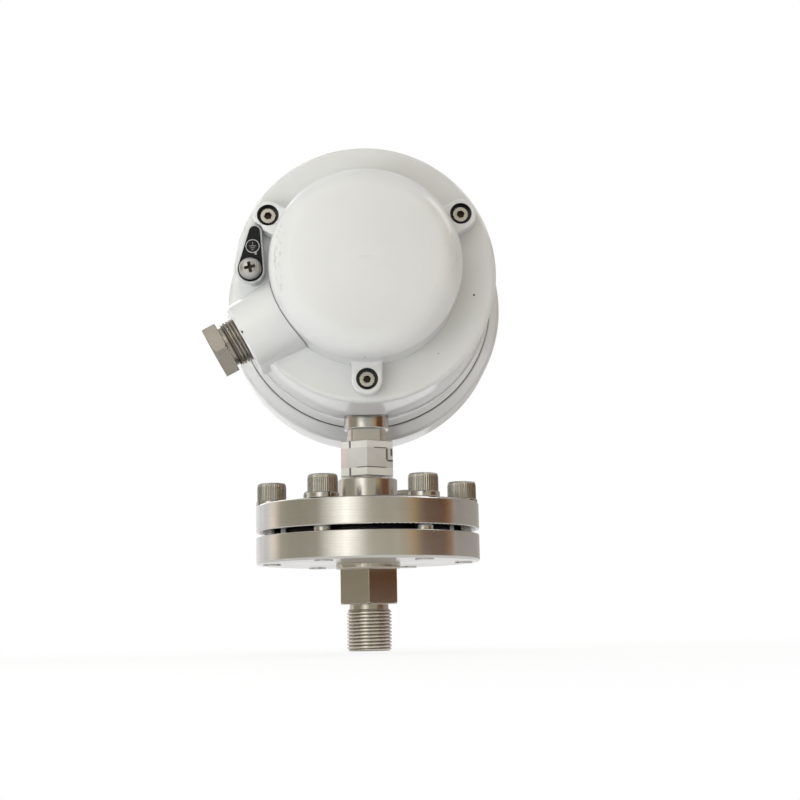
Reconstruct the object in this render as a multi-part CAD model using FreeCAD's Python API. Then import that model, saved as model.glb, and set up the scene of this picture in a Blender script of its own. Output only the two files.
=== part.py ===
import FreeCAD, Part
import math
import os

V = FreeCAD.Vector
os.makedirs("parts", exist_ok=True)

# Clearances used by every fit
FIT = 0.05
PLAY = 0.3

# Process connector: heights run up from the end of its thread
THREAD_R = 10.0
THREAD_LEN = 18.3
RELIEF_R = 8.7
RELIEF_LEN = 2.2
CONNECTOR_AF = 25.0
CONNECTOR_HEX_LEN = 15.5
COLLAR_LEN = 2.6
BORE_R = 4.0
CONNECTOR_SPIGOT_LEN = 4.0

# Diaphragm seal flanges
FLANGE_R = 50.0
FLANGE_T = 12.0
FLANGE_EDGE = 1.0
DISH_R = 29.0
DISH_DEPTH = 1.6
HUB_R = 13.6
HUB_LEN = 11.5
SPIGOT_R = 8.0
SPIGOT_LEN = 7.0
CHANNEL_R = 2.0
DIAPHRAGM_T = 0.3
DIAPHRAGM_R = 37.0
WAVE = 0.45
SEAL_T = 1.8
SEAL_R_IN = 29.6

# Flange bolts, M8, with spring washers
BOLT_N = 6
BOLT_CIRCLE_R = 43.0
BOLT_TURN = 3.2
BOLT_R = 4.0
BOLT_HEAD_R = 6.5
BOLT_HEAD_H = 8.0
BOLT_SOCKET_AF = 6.0
BOLT_TIP = 0.5
WASHER_R = 7.0
WASHER_T = 2.1

# Coupling nut, label and stem
NUT_GAP = 1.0
NUT_AF = 23.0
NUT_LEN = 15.8
LABEL_T = 0.15
LABEL_EDGE = 0.2
FLAT_R = 8.9
FLAT_HALF = 6.5
FLAT_LEN = 5.8
NECK_STEM_R = 10.2
BLOCK_HALF_X = 13.0
BLOCK_Y0 = -9.0
BLOCK_Y1 = 6.0
FOOT_HALF_X = 20.5
FOOT_Y0 = -7.0
FOOT_Y1 = 5.0
FOOT_H = 4.8
TUBE_SEAT_ARC = 25.0
STEM_SCREW_X = 16.8
STEM_SCREW_R = 2.0
STEM_SCREW_LEN = 4.5
STEM_HEAD_R = 3.4
STEM_HEAD_H = 2.6
SLOT_W = 1.0

# Case: its axis runs along Y at this height, with the dial towards +Y
CASE_Z = 161.0
BACK_Y = -45.4
BODY_R = 57.2
BODY_DRAFT = 0.5
BODY_WALL = 7.2
BACK_R = BODY_R - BODY_DRAFT
ROOM_R = BODY_R - BODY_WALL
ROOM_Y = 12.0
STEP_Y = -4.0
STEP_DEEP = 0.7
STEP_W = 1.0
RIM_STEP = 0.7
RIM_R0 = BODY_R + RIM_STEP
RIM_Y = 13.9
NECK_Y = 38.0
PARTITION_Y0 = -22.0
PARTITION_Y1 = -16.0
CHAMBER_R = 36.0
POCKET_R = 41.0
POCKET_Y = -36.0
SCREW_BOSS_R = 6.0
SPOT_R = 14.8
SPOT_PAST = 1.0
SPOT_DEEP = 1.6
SPOT_Z = CASE_Z - BODY_R + SPOT_DEEP
SEAT_RISE = 2.2
SEAT_Z = CASE_Z - ROOM_R + SEAT_RISE
BLOCK_DROP = 31.0
BLOCK_TOP = CASE_Z - BLOCK_DROP

# Cable boss and adapter, M20 outside and M16 inside
BOSS_ANGLE = 208.5
BOSS_Y = -46.8
BOSS_R = 14.6
BOSS_TAPER = 0.077
BOSS_ROOT_Y = -28.7
BOSS_OUT = 2.8
BOSS_END = BODY_R + BOSS_OUT
BOSS_START = 30.0
BOSS_EDGE = 1.0
BOSS_FILLET = 0.8
CABLE_R = 10.0
CABLE_BORE_LEN = 17.0
CABLE_PASS_R = 6.5
CABLE_PASS_Y = -37.0
CABLE_PASS_WALL = 3.0
ADAPTER_AF = 22.0
ADAPTER_TURN = 11.0
ADAPTER_OUT = 13.4
ADAPTER_DEEP = 13.0
ADAPTER_END = BOSS_END + ADAPTER_OUT
ADAPTER_IN = BOSS_END - ADAPTER_DEEP
ADAPTER_HEX = 6.0
ADAPTER_RELIEF = 1.6
ADAPTER_RELIEF_R = 8.9
ENTRY_R = 8.0
ENTRY_LEN = 10.0
ENTRY_PASS_R = 6.5

# Earthing pad, plate and screw
EARTH_INSET = 8.3
EARTH_RISE = 0.5
EARTH_TIP_INSET = 10.1
EARTH_TIP_RISE = 17.0
EARTH_X = EARTH_INSET - BODY_R
EARTH_Z = CASE_Z + EARTH_RISE
EARTH_R = 5.3
EARTH_TIP_X = EARTH_TIP_INSET - BODY_R
EARTH_TIP_Z = CASE_Z + EARTH_TIP_RISE
EARTH_TIP_R = 2.3
EARTH_PAD_H = 6.0
EARTH_PAD_EDGE = 0.7
EARTH_PAD_FILLET = 0.4
EARTH_PLATE_T = 1.2
EARTH_SCREW_R = 2.5
EARTH_HEAD_R = 4.8
EARTH_HEAD_H = 3.4
EARTH_SCREW_DEEP = 12.0

# Terminal cover, its ears and screws
COVER_R = 40.8
COVER_WALL = 4.5
COVER_FACE_Y = -75.0
COVER_CROWN_R = 300.0
COVER_EDGE_R = 11.0
COVER_TOP_T = 4.5
COVER_INSIDE_R = 7.0
EAR_N = 3
EAR_CIRCLE_R = 47.7
EAR_R = 6.6
EAR_H = 8.0
EAR_EDGE = 0.9
EAR_FILLET = 1.2
EAR_BORE_R = 4.65
EAR_SEAT = 2.8
COVER_SCREW_R = 2.0
COVER_HEAD_R = 3.5
COVER_HEAD_H = 4.0
COVER_SOCKET_AF = 3.0
COVER_SCREW_DEEP = 11.0
GASKET_R = 39.8
GASKET_R_IN = 37.8
GASKET_T = 1.5

# Terminal block and feed-through
BLOCK_X = 23.0
TERM_DROP = 9.0
TERM_W = 14.0
TERM_Z0 = CASE_Z - TERM_DROP
TERM_Z1 = TERM_Z0 + TERM_W
TERM_H = 11.0
TERM_LUG_X = 29.5
TERM_LUG_H = 5.0
TERM_SCREW_X = 26.0
TERM_SCREW_R = 1.75
TERM_SCREW_DEEP = 7.0
BLOCK_SCREW_DEEP = 4.0
TERM_HEAD_R = 2.6
TERM_HEAD_H = 2.0
TERM_PITCH = 11.0
TERM_N = 4
CLAMP_T = 1.0
CLAMP_W = 7.0
FEED_RISE = 25.0
FEED_Z = CASE_Z + FEED_RISE
FEED_R = 7.0
FEED_FLANGE_R = 9.5
FEED_FLANGE_T = 3.0
FEED_TAIL = 2.0

# Bezel ring and window
BEZEL_Y0 = 14.9
BEZEL_R = 64.8
BEZEL_WALL = 9.9
BEZEL_BACK = 4.8
BEZEL_LIP = 1.5
BEZEL_R0 = BEZEL_R - BEZEL_BACK
BEZEL_R1 = BEZEL_R - BEZEL_LIP
NECK_WALL = 4.9
NECK_R = BEZEL_R - BEZEL_WALL
CAVITY_R = NECK_R - NECK_WALL
RIM_SEAT = 4.3
RIM_R = NECK_R + RIM_SEAT
BEZEL_RIDGE_Y = 22.5
BEZEL_Y1 = 54.0
BEZEL_EDGE = 6.0
OPEN_STEP = 1.0
OPEN_R = CAVITY_R + OPEN_STEP
OPEN_BEVEL = 3.0
GLASS_PLAY = 0.5
GLASS_R = NECK_R - GLASS_PLAY
GLASS_T = 8.0
WINDOW_GASKET_T = 2.0
WINDOW_GASKET_R = NECK_R - GLASS_PLAY - 0.2
WINDOW_GASKET_R_IN = CAVITY_R + PLAY

# Bourdon tube, tip and link
TUBE_R = 34.0
TUBE_Y = -1.0
TUBE_HALF_W = 5.5
TUBE_HALF_T = 2.5
TUBE_WALL = 0.7
TUBE_START = -76.0
TUBE_END = 175.0
TIP_LEN = 7.0
TIP_OVER = 1.0
TIP_ARM_R = 2.6
LINK_LEN = 33.0
LINK_W = 2.0
LINK_EYE_R = 2.0
LINK_T = 1.0
LINK_PIN_R = 0.8
LINK_PIN_END = 0.4

# Movement
PLATE_T = 1.5
PLATE_GAP = 9.0
PLATE_HALF_X = 12.0
PLATE_RISE = 9.0
PLATE_TOP = CASE_Z + PLATE_RISE
PILLAR_R = 2.2
PILLAR_X = 9.0
PILLAR_IN = 4.0
PLATE_SCREW_R = 1.0
PLATE_SCREW_HEAD_R = 1.9
PLATE_SCREW_HEAD_H = 1.2
PLATE_SCREW_DEEP = 4.0
MOVE_SCREW_X = 8.0
MOVE_SCREW_RISE = 7.8
MOVE_SCREW_Z = SEAT_Z + MOVE_SCREW_RISE
BACK_PLATE_Z0 = MOVE_SCREW_Z - 4.0
FRONT_PLATE_Z0 = MOVE_SCREW_Z + 2.0
LOW_PILLAR_Z = MOVE_SCREW_Z + 5.5
HIGH_PILLAR_Z = PLATE_TOP - PILLAR_IN
PILLARS = ((-PILLAR_X, HIGH_PILLAR_Z), (PILLAR_X, HIGH_PILLAR_Z), (PILLAR_X, LOW_PILLAR_Z))
MOVE_SCREW_R = 1.5
MOVE_HEAD_R = 2.6
MOVE_HEAD_H = 1.8
MOVE_SCREW_DEEP = 8.0
MODULE = 0.5
PINION_TEETH = 12
SECTOR_TEETH = 90
SECTOR_T = 1.2
SECTOR_Y = 11.5
SECTOR_FIRST = -11
SECTOR_LAST = 2
TAIL_LEN = 6.5
TAIL_EYE_R = 2.2
SECTOR_SWING = 36.0
SECTOR_HUB_R = 4.0
ARBOR_R = 1.5
PIVOT_R = 1.0
ARBOR_END = 26.0
COLLET_R = 2.2
COLLET_Y = 14.2
COLLET_T = 1.2
SPRING_GAP = 0.7
SPRING_STRIP = 0.25
SPRING_HALF_TURNS = 9
SPRING_ROOM = 20.0

# Dial and pointer
DIAL_Y = 21.0
DIAL_T = 1.0
DIAL_PLAY = 1.5
DIAL_R = CAVITY_R - DIAL_PLAY
DIAL_HOLE_R = 4.5
DIAL_SCREW_IN = 5.0
DIAL_SCREW_X = CAVITY_R - DIAL_SCREW_IN
DIAL_SCREW_R = 1.5
DIAL_HEAD_R = 2.7
DIAL_HEAD_H = 1.8
DIAL_SCREW_DEEP = 7.0
LUG_OVER = 4.0
LUG_IN = DIAL_SCREW_X - LUG_OVER
LUG_HALF_Z = 5.0
LUG_T = 8.0
LUG_BACK_Y = DIAL_Y - LUG_T
POINTER_Y = 23.5
POINTER_T = 0.6
POINTER_LEN = 40.0
POINTER_TAIL = 9.0
POINTER_HALF_W = 1.8
POINTER_TIP_HALF = 0.4
POINTER_HUB_R = 3.5
POINTER_HUB_Y0 = 22.6
POINTER_HUB_Y1 = 25.4
POINTER_ZERO = -45.0

# Contact bridge and limit hands
BRIDGE_Y = 26.5
BRIDGE_T = 1.2
BRIDGE_END_R = 5.5
BRIDGE_HALF_X = 4.0
BRIDGE_FOOT_OVER = 3.0
BRIDGE_FOOT_HALF = 4.0
POST_X = 5.0
POST_DROP = 24.5
POST_Z = CASE_Z - POST_DROP
POST_R = 2.4
BRIDGE_SCREW_R = 1.25
BRIDGE_HEAD_R = 2.2
BRIDGE_HEAD_H = 1.5
STUB_R = 3.0
STUB_END = 33.4
CLIP_Y = 32.8
CLIP_T = 0.4
CLIP_R = 4.6
CLIP_IN_R = 2.5
LOW_AT = 22.5
LOW_Y0 = 28.0
LOW_HUB_R = 6.5
LOW_HUB_T = 1.2
LOW_SLEEVE_R = 4.0
LOW_SLEEVE_END = 32.6
LOW_LEN = 30.0
LOW_STUD = 24.0
HIGH_AT = 157.5
HIGH_Y0 = 29.6
HIGH_HUB_R = 7.0
HIGH_HUB_T = 2.0
HIGH_LEN = 38.0
HIGH_STUD = 34.0
HAND_T = 0.6
HAND_HALF_W = 1.5
HAND_TIP_HALF = 0.5
STUD_R = 0.9
STUD_Y = 24.6

# Setting lock in the middle of the window
LOCK_R = 6.0
LOCK_IN_Y = 36.8
LOCK_FLANGE_R = 10.0
LOCK_FLANGE_H = 5.0
LOCK_WELL_R = 6.2
LOCK_WELL_FLOOR = 1.0
LOCK_NUT_AF = 17.0
LOCK_NUT_T = 2.4
PLUNGER_R = 3.4
PLUNGER_HEAD_R = 5.8
PLUNGER_HEAD_H = 2.0
PLUNGER_RISE = 0.2
SPINDLE_R = 1.75
SPINDLE_HEAD_R = 3.5
SPINDLE_HEAD_H = 2.0
SPINDLE_SLOT = 1.0
DOG_T = 1.2
DOG_HALF_L = 6.0
DOG_HALF_W = 1.3
LOCK_SPRING_R = 4.6
LOCK_SPRING_WIRE = 0.5
LOCK_SPRING_TURNS = 3.5

# Heights along the stem that follow from the sizes above
HEX_Z0 = THREAD_LEN + RELIEF_LEN
HEX_Z1 = HEX_Z0 + CONNECTOR_HEX_LEN
LOW_Z0 = HEX_Z1 + COLLAR_LEN
LOW_Z1 = LOW_Z0 + FLANGE_T
UP_Z0 = LOW_Z1 + SEAL_T + DIAPHRAGM_T
UP_Z1 = UP_Z0 + FLANGE_T
HUB_Z = UP_Z1 + HUB_LEN
SPIGOT_Z = HUB_Z + SPIGOT_LEN
NUT_Z0 = HUB_Z + NUT_GAP
NUT_Z1 = NUT_Z0 + NUT_LEN
FLAT_Z1 = NUT_Z1 + FLAT_LEN

# Levels along the case axis that follow from the sizes above
PAD_Y = BACK_Y - EARTH_PAD_H
PLATE_Y = PAD_Y - EARTH_PLATE_T
EAR_Y = BACK_Y - EAR_H
SEAT_Y = BACK_Y - EAR_SEAT
GLASS_Y0 = NECK_Y + WINDOW_GASKET_T
GLASS_Y1 = GLASS_Y0 + GLASS_T
PLATE1_Y0 = BLOCK_Y1
PLATE1_Y1 = PLATE1_Y0 + PLATE_T
PLATE2_Y0 = PLATE1_Y1 + PLATE_GAP
PLATE2_Y1 = PLATE2_Y0 + PLATE_T
DIAL_Y1 = DIAL_Y + DIAL_T
BRIDGE_Y1 = BRIDGE_Y + BRIDGE_T
SECTOR_Y1 = SECTOR_Y + SECTOR_T
LOCK_Y1 = GLASS_Y1 + LOCK_FLANGE_H
WELL_Y = GLASS_Y1 + LOCK_WELL_FLOOR
PLUNGER_Y = LOCK_Y1 + PLUNGER_RISE
PLUNGER_Y1 = PLUNGER_Y + PLUNGER_HEAD_H
DOG_Y1 = LOCK_IN_Y - FIT
PINION_PITCH_R = MODULE * PINION_TEETH / 2
SECTOR_PITCH_R = MODULE * SECTOR_TEETH / 2
SECTOR_Z = CASE_Z - PINION_PITCH_R - SECTOR_PITCH_R

UP = V(0, 0, 1)
OUT = V(0, 1, 0)


def rad(deg):
    return math.radians(deg)


def save(shape, node):
    shape.exportStep("parts/" + node + ".step")


def cyl(r, a, b):
    return Part.makeCylinder(r, (b - a).Length, a, b - a)


def cyl_y(r, y0, y1, x=0.0, z=CASE_Z):
    return cyl(r, V(x, y0, z), V(x, y1, z))


def cyl_z(r, z0, z1, x=0.0, y=0.0):
    return cyl(r, V(x, y, z0), V(x, y, z1))


def box(x0, x1, y0, y1, z0, z1):
    return Part.makeBox(x1 - x0, y1 - y0, z1 - z0, V(x0, y0, z0))


def around(angle, r, y=0.0):
    """Point at an angle around the case axis, from +X towards +Z."""
    return V(r * math.cos(rad(angle)), y, CASE_Z + r * math.sin(rad(angle)))


def outline(points, place):
    """Closed wire through 2-D points; a third value rounds that corner."""
    flat = [V(p[0], p[1], 0) for p in points]
    runs = []
    for i, p in enumerate(points):
        here = flat[i]
        r = p[2] if len(p) > 2 else 0
        if r == 0:
            runs.append((here, None, here))
            continue
        u = (flat[i - 1] - here).normalize()
        w = (flat[(i + 1) % len(flat)] - here).normalize()
        half = u.getAngle(w) / 2
        bis = (u + w).normalize()
        t = r / math.tan(half)
        mid = here + bis * (r / math.sin(half) - r)
        runs.append((here + u * t, mid, here + w * t))
    edges = []
    for i, (start, mid, end) in enumerate(runs):
        before = runs[i - 1][2]
        if before.distanceToPoint(start) > 1e-6:
            edges.append(Part.makeLine(place(before), place(start)))
        if mid is not None:
            edges.append(Part.Arc(place(start), place(mid), place(end)).toShape())
    return Part.Wire(edges)


def spin_y(points):
    """Turned piece on the case axis from radius and Y pairs."""
    wire = outline(points, lambda p: V(p.x, p.y, CASE_Z))
    return Part.Face(wire).revolve(V(0, 0, CASE_Z), OUT, 360)


def spin_z(points):
    """Turned piece on the stem axis from radius and height pairs."""
    wire = outline(points, lambda p: V(p.x, 0, p.y))
    return Part.Face(wire).revolve(V(0, 0, 0), UP, 360)


def slab(points, y0, y1):
    """Flat piece across the case axis from X and Z pairs."""
    wire = outline(points, lambda p: V(p.x, y0, p.y))
    return Part.Face(wire).extrude(V(0, y1 - y0, 0))


def hex_bar(af, a, b, corner):
    """Hexagon bar from a to b with one corner towards the given direction."""
    axis = (b - a).normalize()
    r = af / 2 / math.cos(math.pi / 6)
    turn = FreeCAD.Rotation(axis, 60)
    arm = V(corner).normalize() * r
    points = []
    for i in range(6):
        points.append(a + arm)
        arm = turn.multVec(arm)
    wire = Part.makePolygon(points + [points[0]])
    return Part.Face(wire).extrude(b - a)


def teardrop(x1, z1, r1, x2, z2, r2, y0, y1):
    """Plate around two circles and their outer tangents."""
    d = math.hypot(x2 - x1, z2 - z1)
    base = math.atan2(z2 - z1, x2 - x1)
    open_a = math.acos((r1 - r2) / d)

    def at(x, z, r, a):
        return V(x + r * math.cos(a), y0, z + r * math.sin(a))

    big0 = at(x1, z1, r1, base + open_a)
    big1 = at(x1, z1, r1, base + math.pi)
    big2 = at(x1, z1, r1, base - open_a)
    tip0 = at(x2, z2, r2, base - open_a)
    tip1 = at(x2, z2, r2, base)
    tip2 = at(x2, z2, r2, base + open_a)
    edges = [Part.Arc(big0, big1, big2).toShape(), Part.makeLine(big2, tip0)]
    edges += [Part.Arc(tip0, tip1, tip2).toShape(), Part.makeLine(tip2, big0)]
    return Part.Face(Part.Wire(edges)).extrude(V(0, y1 - y0, 0))


def edges_at_y(shape, y):
    found = []
    for edge in shape.Edges:
        bound = edge.BoundBox
        if abs(bound.YMin - y) < 1e-4 and abs(bound.YMax - y) < 1e-4:
            found.append(edge)
    return found


def merged(shapes):
    return shapes[0].multiFuse(shapes[1:]).removeSplitter()


def cover_spots():
    return [around(30 + 360 / EAR_N * i, EAR_CIRCLE_R) for i in range(EAR_N)]


def bolt_spots():
    spots = []
    for i in range(BOLT_N):
        a = rad(30 + BOLT_TURN + 360 / BOLT_N * i)
        spots.append(V(BOLT_CIRCLE_R * math.sin(a), -BOLT_CIRCLE_R * math.cos(a), 0))
    return spots


def boss_point(r, y=BOSS_Y):
    return around(BOSS_ANGLE, r, y)


def cable_boss():
    """Tapered round boss whose straight sides run down to the side of the case."""
    start_r = BOSS_R + BOSS_TAPER * (BOSS_END - BOSS_START)
    way = boss_point(BOSS_END) - boss_point(BOSS_START)
    side = way.cross(OUT).normalize()
    crown = Part.makeCone(start_r, BOSS_R, way.Length, boss_point(BOSS_START), way)
    corners = [boss_point(BOSS_START) + side * start_r, boss_point(BOSS_END) + side * BOSS_R,
               boss_point(BOSS_END) - side * BOSS_R, boss_point(BOSS_START) - side * start_r]
    walls = Part.Face(Part.makePolygon(corners + corners[:1])).extrude(V(0, BOSS_ROOT_Y - BOSS_Y, 0))
    boss = merged([crown, walls])
    end = []
    for edge in boss.Edges:
        at_end = all(abs((v.Point - boss_point(BOSS_END)).dot(way)) < 1e-6 for v in edge.Vertexes)
        if at_end and edge.BoundBox.YMin < BOSS_ROOT_Y - PLAY:
            end.append(edge)
    return boss.makeChamfer(BOSS_EDGE, end)


def process_connector():
    hexagon = hex_bar(CONNECTOR_AF, V(0, 0, HEX_Z0), V(0, 0, HEX_Z1), V(0, -1, 0))
    corner_r = CONNECTOR_AF / 2 / math.cos(math.pi / 6)
    lathe = [(0, HEX_Z0), (corner_r - 0.9, HEX_Z0), (corner_r, HEX_Z0 + 0.6)]
    hexagon = hexagon.common(spin_z(lathe + [(corner_r, HEX_Z1), (0, HEX_Z1)]))
    turned = spin_z([
        (BORE_R, 0), (THREAD_R, 0), (THREAD_R, THREAD_LEN), (RELIEF_R, THREAD_LEN),
        (RELIEF_R, HEX_Z0 + 1), (BORE_R, HEX_Z0 + 1)])
    collar = spin_z([
        (BORE_R, HEX_Z1 - 1), (CONNECTOR_AF / 2 - 0.5, HEX_Z1 - 1), (CONNECTOR_AF / 2 - 0.5, HEX_Z1),
        (corner_r, HEX_Z1, 0.5), (corner_r, LOW_Z0), (SPIGOT_R, LOW_Z0),
        (SPIGOT_R, LOW_Z0 + CONNECTOR_SPIGOT_LEN), (BORE_R, LOW_Z0 + CONNECTOR_SPIGOT_LEN)])
    hexagon = hexagon.cut(cyl_z(BORE_R, HEX_Z0 - 1, HEX_Z1 + 1))
    return merged([hexagon, turned, collar])


def lower_flange():
    shape = spin_z([
        (SPIGOT_R + FIT, LOW_Z0), (FLANGE_R, LOW_Z0, FLANGE_EDGE), (FLANGE_R, LOW_Z1, 0.5),
        (DISH_R, LOW_Z1), (DISH_R - 6, LOW_Z1 - DISH_DEPTH), (BORE_R, LOW_Z1 - DISH_DEPTH - 1.5),
        (BORE_R, LOW_Z0 + CONNECTOR_SPIGOT_LEN),
        (SPIGOT_R + FIT, LOW_Z0 + CONNECTOR_SPIGOT_LEN)])
    holes = [cyl_z(BOLT_R + FIT, LOW_Z0 - 1, LOW_Z1 + 1, p.x, p.y) for p in bolt_spots()]
    return shape.cut(Part.makeCompound(holes))


def upper_flange():
    shape = spin_z([
        (CHANNEL_R, UP_Z0 + DISH_DEPTH), (DISH_R - 4, UP_Z0 + DISH_DEPTH), (DISH_R, UP_Z0),
        (FLANGE_R, UP_Z0, 0.5), (FLANGE_R, UP_Z1, FLANGE_EDGE), (HUB_R, UP_Z1, 0.8),
        (HUB_R, HUB_Z, 0.6), (SPIGOT_R, HUB_Z), (SPIGOT_R, SPIGOT_Z), (CHANNEL_R, SPIGOT_Z)])
    hole_r = BOLT_R + PLAY + FIT
    holes = [cyl_z(hole_r, UP_Z0 - 1, UP_Z1 + 1, p.x, p.y) for p in bolt_spots()]
    return shape.cut(Part.makeCompound(holes))


def diaphragm():
    rings = 4
    step = (DISH_R - 5) / (2 * rings)
    low = [(0, UP_Z0 - DIAPHRAGM_T)]
    for i in range(1, 2 * rings):
        low.append((i * step, UP_Z0 - DIAPHRAGM_T + (WAVE if i % 2 else 0)))
    low.append((DISH_R - 5, UP_Z0 - DIAPHRAGM_T))
    top = [(r, z + DIAPHRAGM_T) for r, z in reversed(low)]
    rim = [(DIAPHRAGM_R, UP_Z0 - DIAPHRAGM_T), (DIAPHRAGM_R, UP_Z0)]
    return spin_z(low + rim + top)


def seal_ring():
    return spin_z([
        (SEAL_R_IN, LOW_Z1), (DIAPHRAGM_R, LOW_Z1), (DIAPHRAGM_R, LOW_Z1 + SEAL_T),
        (SEAL_R_IN, LOW_Z1 + SEAL_T)])


def flange_bolts():
    bolts = []
    head_z = UP_Z1 + WASHER_T
    for p in bolt_spots():
        head = cyl_z(BOLT_HEAD_R, head_z, head_z + BOLT_HEAD_H, p.x, p.y)
        top = [e for e in head.Edges if abs(e.BoundBox.ZMin - head_z - BOLT_HEAD_H) < 1e-4]
        head = head.makeChamfer(0.7, top)
        shank = cyl_z(BOLT_R, LOW_Z0 - BOLT_TIP, head_z + 1, p.x, p.y)
        a = V(p.x, p.y, head_z + BOLT_HEAD_H / 2)
        socket = hex_bar(BOLT_SOCKET_AF, a, a + UP * BOLT_HEAD_H, V(1, 0.4, 0).cross(UP))
        bolts.append(merged([head, shank]).cut(socket))
    return Part.makeCompound(bolts)


def spring_washers():
    rings = []
    for i, p in enumerate(bolt_spots()):
        ring = cyl_z(WASHER_R, UP_Z1, UP_Z1 + WASHER_T, p.x, p.y)
        ring = ring.cut(cyl_z(BOLT_R + PLAY, UP_Z1 - 1, UP_Z1 + WASHER_T + 1, p.x, p.y))
        slit = box(-0.5, 0.5, -WASHER_R - 1, 0, UP_Z1 - 1, UP_Z1 + WASHER_T + 1)
        slit.rotate(V(0, 0, 0), UP, 77 * i)
        slit.translate(V(p.x, p.y, 0))
        rings.append(ring.cut(slit))
    return Part.makeCompound(rings)


def coupling_nut():
    nut = hex_bar(NUT_AF, V(0, 0, NUT_Z0), V(0, 0, NUT_Z1), V(0, -1, 0))
    return nut.cut(cyl_z(SPIGOT_R + FIT, NUT_Z0 - 1, NUT_Z1 + 1))


def label_band():
    a = V(0, 0, NUT_Z0 + LABEL_EDGE)
    b = V(0, 0, NUT_Z1 - LABEL_EDGE)
    front = V(0, -1, 0)
    return hex_bar(NUT_AF + 2 * LABEL_T, a, b, front).cut(hex_bar(NUT_AF, a, b, front))


def tube_body(half_w, half_t, start, end):
    """Oval tube section swept around the case axis between two angles."""
    straight = half_w - half_t
    a = V(TUBE_R - half_t, TUBE_Y - straight, CASE_Z)
    b = V(TUBE_R - half_t, TUBE_Y + straight, CASE_Z)
    c = V(TUBE_R + half_t, TUBE_Y + straight, CASE_Z)
    d = V(TUBE_R + half_t, TUBE_Y - straight, CASE_Z)
    top = V(TUBE_R, TUBE_Y + half_w, CASE_Z)
    low = V(TUBE_R, TUBE_Y - half_w, CASE_Z)
    edges = [Part.makeLine(a, b), Part.Arc(b, top, c).toShape()]
    edges += [Part.makeLine(c, d), Part.Arc(d, low, a).toShape()]
    face = Part.Face(Part.Wire(edges))
    face.rotate(V(0, 0, CASE_Z), V(0, -1, 0), start)
    return face.revolve(V(0, 0, CASE_Z), V(0, -1, 0), end - start)


def stem():
    spigot_z = NUT_Z1 - SPIGOT_LEN
    rod = spin_z([
        (0, spigot_z), (SPIGOT_R, spigot_z, 0.6), (SPIGOT_R, NUT_Z1), (FLAT_R, NUT_Z1),
        (FLAT_R, FLAT_Z1), (NECK_STEM_R, FLAT_Z1, 0.5), (NECK_STEM_R, SEAT_Z + 1), (0, SEAT_Z + 1)])
    for side in (-1, 1):
        near = side * FLAT_HALF
        far = side * (FLAT_R + 2)
        rod = rod.cut(box(-FLAT_R, FLAT_R, min(near, far), max(near, far), NUT_Z1, FLAT_Z1))
    block = box(-BLOCK_HALF_X, BLOCK_HALF_X, BLOCK_Y0, BLOCK_Y1, SEAT_Z, BLOCK_TOP)
    foot = box(-FOOT_HALF_X, FOOT_HALF_X, FOOT_Y0, FOOT_Y1, SEAT_Z, SEAT_Z + FOOT_H)
    shape = merged([rod, block, foot])
    seat_end = TUBE_START + TUBE_SEAT_ARC
    shape = shape.cut(tube_body(TUBE_HALF_W + FIT, TUBE_HALF_T + FIT, TUBE_START, seat_end))
    inlet = around(TUBE_START, TUBE_R, TUBE_Y)
    bend = V(0, TUBE_Y, SEAT_Z + FOOT_H)
    channel = cyl_z(CHANNEL_R, spigot_z - 1, bend.z + CHANNEL_R)
    shape = shape.cut(channel).cut(cyl(CHANNEL_R - TUBE_WALL, bend, inlet))
    for side in (-1, 1):
        x = side * STEM_SCREW_X
        y = (FOOT_Y0 + FOOT_Y1) / 2
        shape = shape.cut(cyl_z(STEM_SCREW_R + PLAY, SEAT_Z - 1, SEAT_Z + FOOT_H + 1, x, y))
        hole = cyl_y(MOVE_SCREW_R + FIT, BLOCK_Y1 - MOVE_SCREW_DEEP, BLOCK_Y1 + 1,
                     side * MOVE_SCREW_X, MOVE_SCREW_Z)
        shape = shape.cut(hole)
    return shape


def stem_screws():
    y = (FOOT_Y0 + FOOT_Y1) / 2
    top = SEAT_Z + FOOT_H
    screws = []
    for side in (-1, 1):
        x = side * STEM_SCREW_X
        head = cyl_z(STEM_HEAD_R, top, top + STEM_HEAD_H, x, y)
        shank = cyl_z(STEM_SCREW_R, SEAT_Z - STEM_SCREW_LEN + PLAY, top + STEM_HEAD_H / 2, x, y)
        slot = box(x - STEM_HEAD_R, x + STEM_HEAD_R, y - SLOT_W / 2, y + SLOT_W / 2,
                   top + STEM_HEAD_H / 2, top + STEM_HEAD_H)
        screws.append(merged([head, shank]).cut(slot))
    return Part.makeCompound(screws)


def boss_seam(body):
    """Edges where the sides of the cable boss meet the back of the casting."""
    out = boss_point(BOSS_END) - boss_point(BOSS_START)
    out.normalize()
    seam = []
    for edge in body.Edges:
        spots = edge.discretize(5)
        reach = [(p - boss_point(0)).dot(out) for p in spots]
        flat = all(abs(p.y - BACK_Y) < 1e-4 for p in spots)
        if flat and min(reach) > 0 and isinstance(edge.Curve, Part.Line):
            seam.append(edge)
    return seam


def pad_seam(body):
    """Edges where the sides of the earthing pad meet the back of the casting."""
    grown = EARTH_PAD_EDGE + PLAY
    around_pad = teardrop(EARTH_X, EARTH_Z, EARTH_R + grown, EARTH_TIP_X, EARTH_TIP_Z,
                          EARTH_TIP_R + grown, BACK_Y - PLAY, BACK_Y + 1)
    return [edge for edge in body.Edges if around_pad.isInside(edge.CenterOfMass, 1e-4, True)]


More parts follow.
